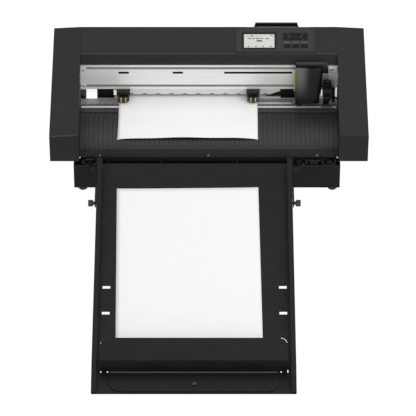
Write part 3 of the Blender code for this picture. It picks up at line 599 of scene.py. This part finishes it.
# bars on the display as (x from its left end, u, length, height)
DISPLAY_BARS = [(15, 22, 4, 2.0), (9, 29.5, 7, 2.0), (18, 29.5, 5, 2.0), (25, 29.5, 9, 2.0),
                (36, 29.5, 5, 2.0), (46, 29.5, 8, 2.0), (27, 34.5, 12, 3.8)]
DISPLAY_BARS += [(x, 25.4, 3.0, 1.0) for x in (5, 10, 15, 20, 26, 33)]
DISPLAY_BARS += [(x, 49, 3.2, 2.4) for x in (8, 24, 39, 56)]
rows = [(lcd_x0 + x, u, length, high) for x, u, length, high in DISPLAY_BARS]
rows.append((lcd_x1 - 8, 22, 4, 2.0))
dashes("display_bars", M["lcd_ink"], rows, FACE_N)
rows = []
for key in ("menu_1", "menu_2", "menu_3"):
    (x0, x1), _, _ = span("key_" + key)
    rows += [(x0 + 1.6, 39.8, 4.0, 2.6), (x0 + 6.1, 39.8, 3.6, 2.6), (x0 + 10.2, 39.8, 3.8, 2.6)]
dashes("key_marks", M["key_label"], rows, 2.0)
for key in ("left", "right", "up", "down", "menu_1", "menu_2", "menu_3"):
    outline = key_outline("key_" + key)
    mx = sum(p[0] for p in outline) / len(outline)
    mu = sum(p[1] for p in outline) / len(outline)
    rings = []
    for x, u in outline:
        ln = math.hypot(x - mx, u - mu)
        dx, du = (x - mx) / ln, (u - mu) / ln
        rings.append([A(x + gap * dx, u + gap * du, n)
                      for gap, n in ((0.4, 1.95), (0.4, 2.2), (1.4, 2.08), (1.4, 1.95))])
    Shape().rings(rings, closed=True).make("well_" + key, "machine", M["well"])

# ------------------------------------------------------------------ carriage
(car_x0, _), _, _ = span("carriage_cover")


REFLECTION_RIGHT, REFLECTION_LEFT = 33.0, 9.0      # the painted reflection grows from the first x to the second, from the left
REFLECTION_LOW, REFLECTION_HIGH = 150.0, 214.0     # and from the first z to the second


def reflection_painted_surface(name):
    """Gloss black that is paler towards its upper left: a painted reflection of the pale room."""
    mat = surface(name, grey(11), 0.34, mottle=(14, 0.1), bump=(700, 0.02, 0.05), spec=0.22)
    nt = mat.node_tree
    bsdf = nt.nodes["Principled BSDF"]
    base = bsdf.inputs["Base Color"].links[0].from_socket
    coord = nt.nodes.new("ShaderNodeTexCoord")
    split = nt.nodes.new("ShaderNodeSeparateXYZ")
    nt.links.new(coord.outputs["Object"], split.inputs[0])
    both = nt.nodes.new("ShaderNodeMath")
    both.operation = "MULTIPLY"
    ranges = (("X", (car_x0 + REFLECTION_RIGHT) * MM, (car_x0 + REFLECTION_LEFT) * MM),
              ("Z", REFLECTION_LOW * MM, REFLECTION_HIGH * MM))
    for k, (axis, zero, one) in enumerate(ranges):
        ramp = nt.nodes.new("ShaderNodeMapRange")
        ramp.interpolation_type = "SMOOTHSTEP"
        low, high = min(zero, one), max(zero, one)
        ramp.inputs["From Min"].default_value = low
        ramp.inputs["From Max"].default_value = high
        ramp.inputs["To Min"].default_value = 0.0 if zero < one else 1.0
        ramp.inputs["To Max"].default_value = 1.0 if zero < one else 0.0
        nt.links.new(split.outputs[axis], ramp.inputs["Value"])
        nt.links.new(ramp.outputs["Result"], both.inputs[k])
    mix = nt.nodes.new("ShaderNodeMix")
    mix.data_type = "RGBA"
    mix.inputs["B"].default_value = grey(98) + (1.0,)
    nt.links.new(both.outputs[0], mix.inputs["Factor"])
    nt.links.new(base, mix.inputs["A"])
    nt.links.new(mix.outputs["Result"], bsdf.inputs["Base Color"])
    return mat


WALL = 1.8
# (z, front b, rear b, right edge) from the foot up to the top of the cover
COVER_LEVELS = [
    (143.6, 142.2, 149.0, 234.6), (144.4, 139.8, 149.6, 234.9), (146.6, 138.4, 150.0, 235.2),
    (154.6, 139.8, 151.8, 235.8), (155.4, 139.9, 170.4, 235.9), (163.0, 141.2, 170.4, 236.4),
    (170.0, 142.6, 170.4, 237.2), (184.0, 146.4, 170.4, 238.2), (198.0, 150.4, 170.4, 239.2),
    (210.0, 154.0, 170.4, 239.8), (217.0, 156.0, 170.4, 240.0), (221.6, 157.4, 169.6, 239.8),
    (224.0, 160.0, 168.0, 239.0)]
DOME_STEPS = 8
levels = []
for z, b_front, b_rear, right in COVER_LEVELS:
    r = min(4.0, (b_rear - b_front) * 0.45)
    dome = min(2.0, (b_rear - b_front - r) * 0.3)     # how far the front falls back to the right
    ring = [P(car_x0, b_rear, z)]
    for deg in range(0, 91, 15):
        a = math.radians(deg)
        ring.append(P(car_x0 + r - r * math.cos(a), b_front + r - r * math.sin(a), z))
    for k in range(1, DOME_STEPS):
        u = k / DOME_STEPS
        ring.append(P(car_x0 + r + (right - 2 * r - car_x0) * u, b_front + dome * u * u, z))
    for deg in range(75, -1, -15):
        a = math.radians(deg)
        ring.append(P(right - r + r * math.cos(a), b_front + dome + r - r * math.sin(a), z))
    ring.append(P(right, b_rear, z))
    levels.append(ring)
verts, faces = [], []
for ring in levels:
    verts.extend(ring)
n = len(levels[0])
for k in range(len(levels) - 1):
    for i in range(n - 1):
        faces.append((k * n + i, k * n + i + 1, (k + 1) * n + i + 1, (k + 1) * n + i))
faces.append(tuple(reversed(range(n))))
faces.append(tuple((len(levels) - 1) * n + i for i in range(n)))
# gloss black with a painted reflection towards its upper left
shell = piece("carriage_shell", verts, faces, "carriage", reflection_painted_surface("carriage_gloss_painted_reflection"),
              slot="carriage_cover", smooth=True)
# faces turned to the right get the very dark material: painted shade on the carriage's right side
tint_faces(shell.data, M["mark"], lambda face: face.normal.x > 0.75)
solid = shell.modifiers.new("wall", "SOLIDIFY")
solid.thickness = WALL * MM
solid.offset = -1.0
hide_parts("carriage_cover")

Shape().box((car_x0 - 2.6, car_x0 - 0.1), (163.0, 169.8), (160.5, 211.8)).make(
    "carriage_side_strip", "carriage", M["yellow"], bevel=0.3)
Shape().box((240.2, 254.2), (170.9, 176.3), (203.4, 220.2)).make(
    "carriage_lug", "carriage", M["black"], bevel=0.6)
Shape().box((car_x0 - 0.6, 251.6), (162.0, 170.4), (230.4, 235.2)).make(
    "carriage_cap", "carriage", M["black"], bevel=0.8)
# very dark neck between the cap and the shell: painted shade in the groove
Shape().box((car_x0 + 0.4, 240.6), (163.4, 170.2), (223.8, 230.6)).make(
    "carriage_cap_neck", "carriage", M["mark"])
# very dark band along the carriage's right edge: painted shade
Shape().rings([[P(x, b, z) for x, z in ((235.6, 155.8), (239.0, 155.8), (243.4, 221.0),
                                       (238.6, 221.0))] for b in (159.0, 170.2)]).make(
    "carriage_side", "carriage", M["mark"])
Shape().box((car_x0 + 1.8, car_x0 + 14.0), (140.6, 147.6), (137.4, 145.0)).make(
    "carriage_foot", "carriage", M["black"], bevel=0.8)
(tool_x0, tool_x1), (tool_b0, _), (tool_z0, _) = span("tool_block")
pen_x, pen_b = 252.5, 149.0
s = Shape()
s.turned("z", (pen_x, pen_b, 133.5), [(0.0, 1.3), (3.0, 4.2), (7.4, 4.3), (7.4, 3.9)], 24)
s.make("blade_tip_ring", "tool", M["blue"], smooth=True)
s = Shape()
s.turned("z", (pen_x, pen_b, 0), [(136.5, 3.9), (146, 3.9), (148, 6.5), (183.6, 6.5), (189.0, 5.6),
                                 (190.0, 4.6), (200.6, 4.6), (201.8, 3.6)], 28)
body = s.make("blade_holder_turned", "tool", M["pen"], slot="blade_holder", smooth=True)
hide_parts("blade_holder")
s = Shape()
s.turned("z", (pen_x, pen_b, 183.6), [(0, 6.4), (0.6, 7.4, 1), (5.0, 7.4, 1), (5.8, 6.4)],
         48, 24, 0.5)
s.make("blade_holder_knurl", "tool", M["pen"])
s = Shape()
s.turned("b", (258.4, tool_b0 + 0.2, 176.0), [(0, 2.6), (-1.4, 2.6), (-2.0, 1.9)], 18)
s.turned("b", (246.6, tool_b0 + 0.2, 161.0), [(0, 1.9), (-1.0, 1.9), (-1.4, 1.2)], 16)
s.make("tool_screws", "tool", M["bushing"], smooth=True)
Shape().box((tool_x0 + 2.2, tool_x1 - 4.2), (tool_b0 - 0.6, tool_b0 + 0.2),
            (tool_z0 + 7.5, tool_z0 + 17)).make("tool_pad", "tool", M["key"], bevel=0.3)
s = Shape()
s.rings([[P(x, b, z) for x, z in ((243.0, 182.6), (241.4, 189.5), (243.0, 194.6), (247.0, 196.8),
                                  (256.2, 196.8), (260.4, 194.6), (262.4, 190.0), (265.2, 184.6),
                                  (265.2, 179.8), (261.2, 179.8), (259.4, 182.6))]
         for b in (141.6, 144.2)])
s.make("tool_wings", "tool", M["mark"], bevel=0.4)
Shape().box((244.0, 255.4), (145.2, 152.6), (138.6, 152.6)).make(
    "tool_foot", "tool", M["mark"], bevel=0.5)

# ------------------------------------------------------------------ grip of the set lever
(lev_x0, _), _, _ = span("set_lever")
ROD_REACH, GRIP_WIDE = 6.0, 91.0     # the lever's rod reaches out on the left of its grip
lev_x0 += ROD_REACH
lev_x1 = lev_x0 + GRIP_WIDE
Shape().box((lev_x0 + 4.9, lev_x1 - 4.9), (300.5, 301.5), (224.5, 231.0)).make(
    "lever_web", "set_lever", M["web"])
s = Shape()
for foot, top in ((-4.0, 0.2), (4.5, -0.2)):
    edge = lev_x0 if foot < 0 else lev_x1
    s.rings([[P(edge + foot, b, 221.0), P(edge + top, b, 221.0), P(edge + top, b, 235.6)]
             for b in (303.6, 306.4)])
s.make("lever_cheeks", "set_lever", M["pen"])

# ------------------------------------------------------------------ push rollers
RING_OFF, RING_STEPS = 5.0, 28
RING_SECTION = [(-1.7, 5.9), (-1.7, 6.25), (-1.3, 6.48), (1.3, 6.48), (1.7, 6.25), (1.7, 5.9)]
for side in ("left", "right"):
    (wx0, wx1), (wb0, wb1), (wz0, wz1) = span("push_wheel_" + side)
    cx, cb, cz = (wx0 + wx1) / 2, (wb0 + wb1) / 2, (wz0 + wz1) / 2
    s = Shape()
    for off in (-RING_OFF, RING_OFF):
        sections = []
        for k in range(RING_STEPS):
            a = 2 * math.pi * k / RING_STEPS
            sections.append([P(cx + off + dx, cb + r * math.cos(a), cz + r * math.sin(a))
                             for dx, r in RING_SECTION])
        s.rings(sections, closed=True)
    s.make("brass_rings_" + side, "wheel_" + side, M["brass"], smooth=True)
    (hx0, _), (hb0, hb1), (_, hz1) = span("push_holder_" + side)
    s = Shape()
    for k in range(5):           # five grip ribs on the holder's top
        x = hx0 + 2.6 + 5.2 * k
        s.box((x, x + 2.0), (hb0 + 2.0, hb1 - 2.0), (hz1 - 0.05, hz1 + 0.5))
    s.make("holder_ribs_" + side, "holder_" + side, M["black"])

# ------------------------------------------------------------------ round the rail ends
s = Shape()
s.turned("x", (0, 177.0, 145.4), [(-273.9, 6.2), (-266.6, 6.2), (-265.6, 5.2)], 24)
s.make("wall_bushing", "machine", M["bushing"], smooth=True)
POST_X, POST_B = 267.2, 167.5
s = Shape()
s.turned("z", (POST_X, POST_B, 130.2), [(0, 2.6), (6, 2.6), (6, 3.6), (9, 3.6), (9, 2.0),
                                        (34, 2.0), (34, 3.2), (36, 3.2)], 20)
s.make("end_post", "machine", M["mark"], smooth=True)
COIL_R, COIL_Z, COIL_RISE, COIL_TURNS, COIL_STEPS = 3.2, 140.0, 22.0, 6, 16
WIRE_R, WIRE_ANGLES = 0.45, (0, 1.26, 2.51, 3.77, 5.03)
sections = []
for k in range(COIL_TURNS * COIL_STEPS + 1):
    a = 2 * math.pi * k / COIL_STEPS
    z = COIL_Z + COIL_RISE * k / (COIL_TURNS * COIL_STEPS)
    section = []
    for t in WIRE_ANGLES:
        r = COIL_R + WIRE_R * math.cos(t)
        section.append(P(POST_X + r * math.cos(a), POST_B + r * math.sin(a),
                         z + WIRE_R * math.sin(t)))
    sections.append(section)
Shape().rings(sections).make("end_spring", "machine", M["mark"], smooth=True)
s = Shape()
s.box((271.0, 273.9), (163.0, 172.0), (145.4, 163.0))
s.make("end_sensor", "machine", M["white"], bevel=0.5)
s = Shape()
s.box((255.0, 273.6), (174.4, 176.5), (181.6, 202.4))
s.box((254.8, 273.6), (173.4, 176.5), (204.4, 216.0))
s.make("end_connector", "machine", M["plate"], bevel=0.5)
Shape().box((257.2, 266.2), (173.2, 173.5), (207.6, 211.8)).make(
    "connector_pins", "machine", M["groove"])
for i, (x, z) in enumerate(((-268.0, 206.5), (-268.0, 165.0), (268.6, 171.0), (268.6, 165.0)), 1):
    b = 177.7 if x < 0 else 176.7
    pan_screw("bracket_screw_%d" % i, "b", (x, b, z), 3.0, "machine", M["steel"])
# white glowing blocks at the ends and the tip of the guide: painted light
Shape().box((-263.4, -240.4), (185.8, 187.2), (130.4, 153.4)).box(
    (-263.4, -240.4), (177.6, 185.9), (129.9, 130.5)).make("guide_end", "machine", M["white"])
Shape().box((240.6, 262.6), (185.8, 187.2), (131.0, 146.0)).box(
    (268.4, 273.9), (185.8, 187.2), (131.0, 146.0)).make("guide_end_right", "machine", M["white"])
Shape().box((-204.6, -198.8), (185.75, 186.1), (133.0, 146.0)).make(
    "track_tip_left", "machine", M["white"])
Shape().box((240.0, 264.0), (146.4, 149.8), (130.0, 130.3)).make(
    "park_pad", "machine", M["dark"])
# dark skirt with a foot laid flat on the guide plate; the foot is painted shade
SHOE_SECTION = [(179.0, 130.4), (186.2, 130.1), (188.0, 129.9), (188.0, 147.0), (186.2, 147.0),
                (186.2, 131.6), (179.0, 131.6)]
for side, (x0, x1) in (("left", (-240.0, -203.0)), ("right", (154.0, 185.0))):
    s = Shape()
    s.rings([[P(x, b, z) for b, z in SHOE_SECTION] for x in (x0, x1)])
    s.make("track_shoe_" + side, "machine", M["dark"], bevel=0.2)
# grey dashes on the guide plate stand for notches: painted shade of the gap behind them
s = Shape()
for k in range(11):
    x = -172.0 + 28.9 * k
    s.box((x + 0.1, x + 9.5), (186.2, 187.2), (135.0, 137.7))
s.make("guide_notch_shade", "machine", M["notch"])
# dark wedge laid on the guide plate's face: painted shadow
SHADE_WEDGE = [(119.0, 130.2), (153.8, 130.2), (153.8, 143.0), (151.0, 143.0)]
Shape().rings([[P(x, b, z) for x, z in SHADE_WEDGE] for b in (185.75, 185.98)]).make(
    "guide_shade_wedge", "machine", M["dark"])


# ------------------------------------------------------------------ gears, motors and boards
GEAR_WIDE, HUB_REACH = 6.5, 6.6
# one tooth as (share of the pitch, 1 at the tip or 0 at the root)
TOOTH = ((0.0, 0), (0.22, 0), (0.36, 1), (0.64, 1), (0.78, 0))


def gear(name, node, body, teeth, root, bore, hub=0.0):
    """Toothed disc standing for a plain one."""
    (x0, x1), (b0, b1), (z0, z1) = span(node)
    cb, cz, tip = (b0 + b1) / 2, (z0 + z1) / 2, (z1 - z0) / 2
    x1 = x0 + GEAR_WIDE
    s = Shape()
    sections = []
    for k in range(teeth):
        for part, out in TOOTH:
            r = tip if out else root
            a = 2 * math.pi * (k + part) / teeth
            c, d = math.cos(a), math.sin(a)
            sections.append([P(x, cb + rr * c, cz + rr * d)
                             for x, rr in ((x0, bore), (x0, r), (x1, r), (x1, bore))])
    s.rings(sections, closed=True)
    if hub:
        s.turned("x", (0, cb, cz), [(x1 - 0.1, hub), (x1 + HUB_REACH, hub)], 20)
    obj = s.make(name, body, M["brass" if hub else "black"], slot=node)
    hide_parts(node)


gear("feed_gear_toothed", "feed_gear", "grit_roller", 56, 21.2, 3.7)
gear("feed_pinion_toothed", "feed_pinion", "feed_pinion", 24, 8.2, 1.6, 3.0)
for node, axis in (("feed_motor", "x"), ("carriage_motor", "z")):
    (x0, x1), (b0, b1), (z0, z1) = span(node)
    at = ((0, (b0 + b1) / 2, (z0 + z1) / 2) if axis == "x" else
          ((x0 + x1) / 2, (b0 + b1) / 2, 0))
    r = (b1 - b0) / 2
    lo, hi = (x0, x1) if axis == "x" else (z0, z1)
    s = Shape()
    for s0, s1 in ((lo + 0.5, lo + 4.5), (hi - 4.5, hi - 0.5)):
        s.turned(axis, at, [(s0, r + 0.1), (s0 + 0.4, r + 0.5), (s1 - 0.4, r + 0.5),
                            (s1, r + 0.1)], 36)
    s.make(node + "_bands", "machine", M["steel"], smooth=True)

_, _, (_, bz1) = span("main_board")
chips, metal = Shape(), Shape()
for x, b, w, d, h in ((-80, 100, 22, 22, 2.4), (-40, 120, 28, 14, 2.2), (0, 95, 14, 14, 2.0),
                      (25, 140, 18, 30, 1.8), (-90, 150, 12, 8, 3.0), (45, 90, 10, 24, 6.0)):
    chips.box((x - w / 2, x + w / 2), (b - d / 2, b + d / 2), (bz1 - 0.1, bz1 + h))
for k in range(7):
    metal.turned("z", (-60 + 13 * k, 158, bz1), [(-0.1, 3.6), (6.5, 3.6), (7.0, 3.0)], 16)
for k in range(12):
    metal.box((-70 + 5 * k, -68.4 + 5 * k), (76, 79), (bz1 - 0.1, bz1 + 4))
chips.make("board_chips", "machine", M["chip"], bevel=0.3)
metal.make("board_parts", "machine", M["steel"])

# parts seen in the gap between the base and the apron
(base_x0, base_x1), (base_b0, base_b1), (_, base_z1) = span("base_frame")
# lighter strip along the base's top front edge: painted highlight with some wear
Shape().box((base_x0 + 1.0, base_x1 - 1.0), (base_b0 - 0.06, base_b0 + 1.4),
            (base_z1 - 0.7, base_z1 + 0.06)).make("base_top_highlight", "machine", M["worn"])
s = Shape()
for x0, x1, z1 in ((-270, -262, 88), (-256, -248, 84), (186, 196, 86), (204, 210, 90),
                   (214, 232, 85), (238, 243, 91), (250, 262, 87), (266, 270, 91)):
    s.box((x0, x1), (17.5, 23.6), (base_z1 + 0.1, z1))
s.make("gap_blocks", "machine", M["gap"], bevel=0.6)
s = Shape()
for x in (-259, -243, 200, 246, 264):
    s.turned("z", (x, 20.0, base_z1), [(0.05, 3.0), (1.6, 3.0), (2.2, 2.2)], 18)
for x in (-214.9, -102.1, 60.0):
    s.turned("b", (x, 24.0, 80.5), [(0.1, 1.6), (-1.0, 1.6), (-1.4, 1.0)], 16)
s.make("gap_screws", "machine", M["bushing"], smooth=True)
s = Shape()
s.box((212.0, 236.0), (18.0, 22.0), (86.2, 87.4)).box((-262, -246), (18.0, 22.0), (89.0, 90.2))
s.make("gap_boards", "machine", M["board"])
for i, (x, z) in enumerate(((-274.0, 90.9), (272.0, 91.5)), 1):
    pan_screw("corner_screw_%d" % i, "b", (x, 24.3, z), 2.2, "machine", M["bright"])

# ------------------------------------------------------------------ rear panel of the base
rear_b = base_b1
INLET_X, INLET_Z = -198, 44
s = Shape()
s.box((-215, -181), (rear_b - 0.2, rear_b + 1.6), (32, 58))
s.make("inlet_body", "machine", M["black"], bevel=0.8)
s = Shape()
s.box((-211, -185), (rear_b + 1.5, rear_b + 1.9), (35, 55))
for dx, dz in ((-6, 0), (6, 0), (0, 5)):
    x, z = INLET_X + dx, INLET_Z + dz
    s.box((x - 1, x + 1), (rear_b + 1.8, rear_b + 2.6), (z - 2.5, z + 2.5))
s.make("inlet_pins", "machine", M["dark"])
s = Shape()
s.box((-170, -150), (rear_b - 0.2, rear_b + 1.4), (36, 54))
s.box((-167, -153), (rear_b + 1.3, rear_b + 3.2), (39, 51))
s.make("power_rocker", "machine", M["gloss"], bevel=0.8)
s = Shape()
s.box((150, 162), (rear_b - 0.2, rear_b + 1.2), (40, 50))
s.box((175, 205), (rear_b - 0.2, rear_b + 1.2), (39, 51))
s.make("data_ports", "machine", M["steel"], bevel=0.5)
s = Shape()
for k in range(16):
    x = -80 + 9 * k
    s.box((x, x + 4.5), (rear_b - 0.1, rear_b + 0.5), (30, 60))
s.make("rear_louvres", "machine", M["dark"], bevel=0.2)
s = Shape()
for x, z in ((-270, 66), (-90, 66), (90, 66), (262, 66), (-270, 24), (262, 24)):
    s.turned("b", (x, rear_b - 0.1, z), [(0, 3.2), (0.9, 3.0), (1.5, 1.6)], 18)
s.make("rear_screws", "machine", M["steel"], smooth=True)
s = Shape()
for sx in (-1, 1):
    for b, z in ((60, 66), (150, 66), (250, 66)):
        x = base_x0 if sx < 0 else base_x1
        s.turned("x", (x - sx * 0.1, b, z), [(0, 3.2), (sx * 0.9, 3.0), (sx * 1.5, 1.6)], 18)
s.make("side_screws", "machine", M["steel"], smooth=True)

# ------------------------------------------------------------------ thumb screws of the tray
HINGE_T, HINGE_N = 120.0, 10.0
hinge = T(0, HINGE_T, HINGE_N) / MM
(tray_x0, tray_x1), _, _ = span("tray")
for side, sx, wall in (("left", -1, tray_x0), ("right", 1, tray_x1)):
    at = (wall, hinge.y - B0, hinge.z)
    s = Shape()
    rows = [(-2.7, 2.6), (-2.6, 2.8), (3.7, 2.8), (3.7, 3.8), (6.6, 3.8), (6.8, 6.4, 1),
            (7.4, 7.0, 1), (16.4, 7.0, 1), (17.0, 6.4, 1)]
    s.turned("x", at, [(sx * row[0],) + tuple(row[1:]) for row in rows], 56, 28, 0.45)
    obj = s.make("thumb_screw_" + side, "tray_screw_" + side, M["knob"],
                 slot="tray_screw_" + side)
    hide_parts("tray_screw_" + side)
    s = Shape()
    s.turned("x", at, [(sx * d, r) for d, r in ((-8.2, 1.6), (-7.8, 2.6), (-6.9, 3.4), (-6.6, 4.3),
                                                (-2.6, 4.3))], 6)
    s.make("thumb_nut_" + side, "tray_screw_" + side, M["bright"], slot="tray_screw_" + side)
(sc_x0, sc_x1), _, _ = span("stopper_screw")
stop_x = (sc_x0 + sc_x1) / 2
SCREW_T = 590.0
s = Shape()
s.turned("t", (stop_x, SCREW_T, 0), [(0.4, 2.9), (2.3, 2.9), (2.3, 5.9), (4.6, 5.9), (5.6, 5.2),
                                     (6.3, 3.4), (6.4, 2.6), (4.9, 2.5)], 30)
knob = s.make("stopper_pan_screw", "stopper_screw", M["knob"], slot="stopper_screw", smooth=True)
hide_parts("stopper_screw")
s = Shape()
for w, h in ((4.4, 1.1), (1.1, 4.4)):
    s.prism(T, [(stop_x - w / 2, SCREW_T - h / 2), (stop_x + w / 2, SCREW_T - h / 2),
                (stop_x + w / 2, SCREW_T + h / 2), (stop_x - w / 2, SCREW_T + h / 2)], 4.8, 6.0)
s.make("stopper_screw_cross", "stopper_screw", M["bushing"])

# rounded inside of the stopper's lower bend, lighter: a painted highlight along the bend
BEND_T, BEND_R = 561.1, 1.9
FLANGE_N = 2.0                   # top of the stopper's flange
bend = [(BEND_T, FLANGE_N)]
for deg in range(0, 91, 15):
    a = math.radians(deg)
    bend.append((BEND_T + BEND_R - BEND_R * math.cos(a), FLANGE_N + BEND_R - BEND_R * math.sin(a)))
Shape().rings([[T(x, t, n) for t, n in bend] for x in (stop_x - 168.0, stop_x + 168.0)]).make(
    "stopper_bend_highlight", "stopper", M["bend"], smooth=True)

# painted highlight and glints on the round corners of the stopper's upper lip
LIP_R, LIP_T, LIP_N = 15.0, 506.0, 43.2
(stop_x0, stop_x1), _, _ = span("tray_stopper")
for name, sx, edge, first, last, look in (
        ("lip_highlight_left", -1, stop_x0, 8, 86, "worn"),
        ("lip_glint_left", -1, stop_x0, 0, 8, "steel"),
        ("lip_glint_right", 1, stop_x1, 10, 80, "steel")):
    mid = edge - sx * LIP_R
    rings = []
    for k in range(9):
        a = math.radians(first + (last - first) * k / 8)
        rings.append([T(mid + sx * r * math.cos(a), LIP_T + LIP_R - r * math.sin(a), n)
                      for r, n in ((LIP_R - 1.5, LIP_N - 0.1), (LIP_R + 0.1, LIP_N - 0.1),
                                   (LIP_R + 0.1, LIP_N + 0.2), (LIP_R - 1.5, LIP_N + 0.2))])
    Shape().rings(rings).make(name, "stopper", M[look])

s = Shape()
for x in (tray_x0 + 1.6, tray_x1 - 1.6):
    sx = 1 if x < 0 else -1
    for t in (30.0, 590.0):
        y = T(0, t, 4.0) / MM
        s.turned("x", (x, y.y - B0, y.z), [(0, 2.0), (sx * 0.7, 1.8), (sx * 1.1, 1.0)], 14)
s.make("tray_rivets", "tray", M["black"], smooth=True)

# ------------------------------------------------------------------ sheets
SHEET_T = 0.25


def paper(name, node, body, rows):
    """Thin sheet from a grid of points, thickened evenly to both sides."""
    verts = [p for row in rows for p in row]
    n = len(rows[0])
    faces = [(r * n + i, r * n + i + 1, (r + 1) * n + i + 1, (r + 1) * n + i)
             for r in range(len(rows) - 1) for i in range(n - 1)]
    obj = piece(name, verts, faces, body, M["paper"], slot=node)
    obj.data.shade_smooth()
    mod = obj.modifiers.new("thickness", "SOLIDIFY")
    mod.thickness = SHEET_T * MM
    mod.offset = 0.0
    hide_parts(node)
    return obj


GUIDE = [(195.0, 128.6), (215.0, 125.3), (240.0, 119.0), (290.0, 104.5), (331.0, 92.8)]
(sh_x0, sh_x1), _, _ = span("loaded_sheet")


def apron_top(b):
    """Height of the apron's outside at b."""
    back = (APRON_MID[0] - b) / APRON_AXES[0]
    return APRON_MID[1] + APRON_AXES[1] * math.sqrt(max(0.0, 1 - back ** 2))


EDGE_B = 51.6                    # front corners of the sheet
EDGE_STEP, EDGE_STEPS = 3.8, 20
FLOAT = 0.35                     # how far the sheet's middle lies above the apron
ACROSS = 48                      # steps over its width
CURL_REACH = 64.0                # its front edge curls up over this length
front_bs = [EDGE_B + EDGE_STEP * k for k in range(EDGE_STEPS)]
path = [(b, apron_top(b) + FLOAT) for b in front_bs]
path += [(128.2, 129.55), (131.5, 130.1)] + [(b, 130.25) for b in (134.5, 150, 165, 177.6)]
path += [(b, z + 0.45) for b, z in GUIDE]
rows = []
for b, z in path:
    front = max(0.0, 1.0 - (b - EDGE_B) / CURL_REACH) ** 2
    row = []
    for k in range(ACROSS + 1):
        u = k / ACROSS
        x = sh_x0 + (sh_x1 - sh_x0) * u - 2.2 * front * (1 - u)
        arch, ripple = math.sin(math.pi * u) ** 0.5, math.sin(5 * math.pi * u + 0.6)
        lift = front * (6.4 * arch + 0.7 * ripple + 1.2 * u)
        row.append(P(x, b, z + max(0.0, lift)))
    rows.append(row)
paper("paper_loaded", "loaded_sheet", "machine", rows)

MID_X, MID_T, HALF_W, HALF_L, TURN = -42.0, 311.5, 148.5, 241.5, math.radians(0.7)
WIDE_STEPS, LONG_STEPS = 32, 40
rows = []
for j in range(LONG_STEPS + 1):
    dt = -HALF_L + 2 * HALF_L * j / LONG_STEPS
    row = []
    for k in range(WIDE_STEPS + 1):
        dx = -HALF_W + 2 * HALF_W * k / WIDE_STEPS
        u, v = abs(dx) / HALF_W, abs(dt) / HALF_L
        wave = 1 - math.cos(2 * math.pi * j / LONG_STEPS)
        lift = 0.3 + 1.0 * (u * v) ** 4 + 0.35 * wave * u ** 3
        row.append(T(MID_X + dx * math.cos(TURN) + dt * math.sin(TURN),
                     MID_T - dx * math.sin(TURN) + dt * math.cos(TURN), lift))
    rows.append(row)
paper("paper_cut", "cut_sheet", "tray", rows)

# ------------------------------------------------------------------ floor
floor_mat = surface("pale_floor", (0.12, 0.12, 0.12), 0.9, grain=(60, 0.004), mottle=(3, 0.004),
                    bump=None, spec=0.1)
glow(floor_mat, 0.97)
FLOOR = 9.0                      # half its side, in metres
me = bpy.data.meshes.new("floor")
me.from_pydata([(-FLOOR, -FLOOR, 0), (FLOOR, -FLOOR, 0), (FLOOR, FLOOR, 0), (-FLOOR, FLOOR, 0)], [],
               [(0, 1, 2, 3)])
me.materials.append(floor_mat)
floor = bpy.data.objects.new("floor", me)
bpy.context.scene.collection.objects.link(floor)
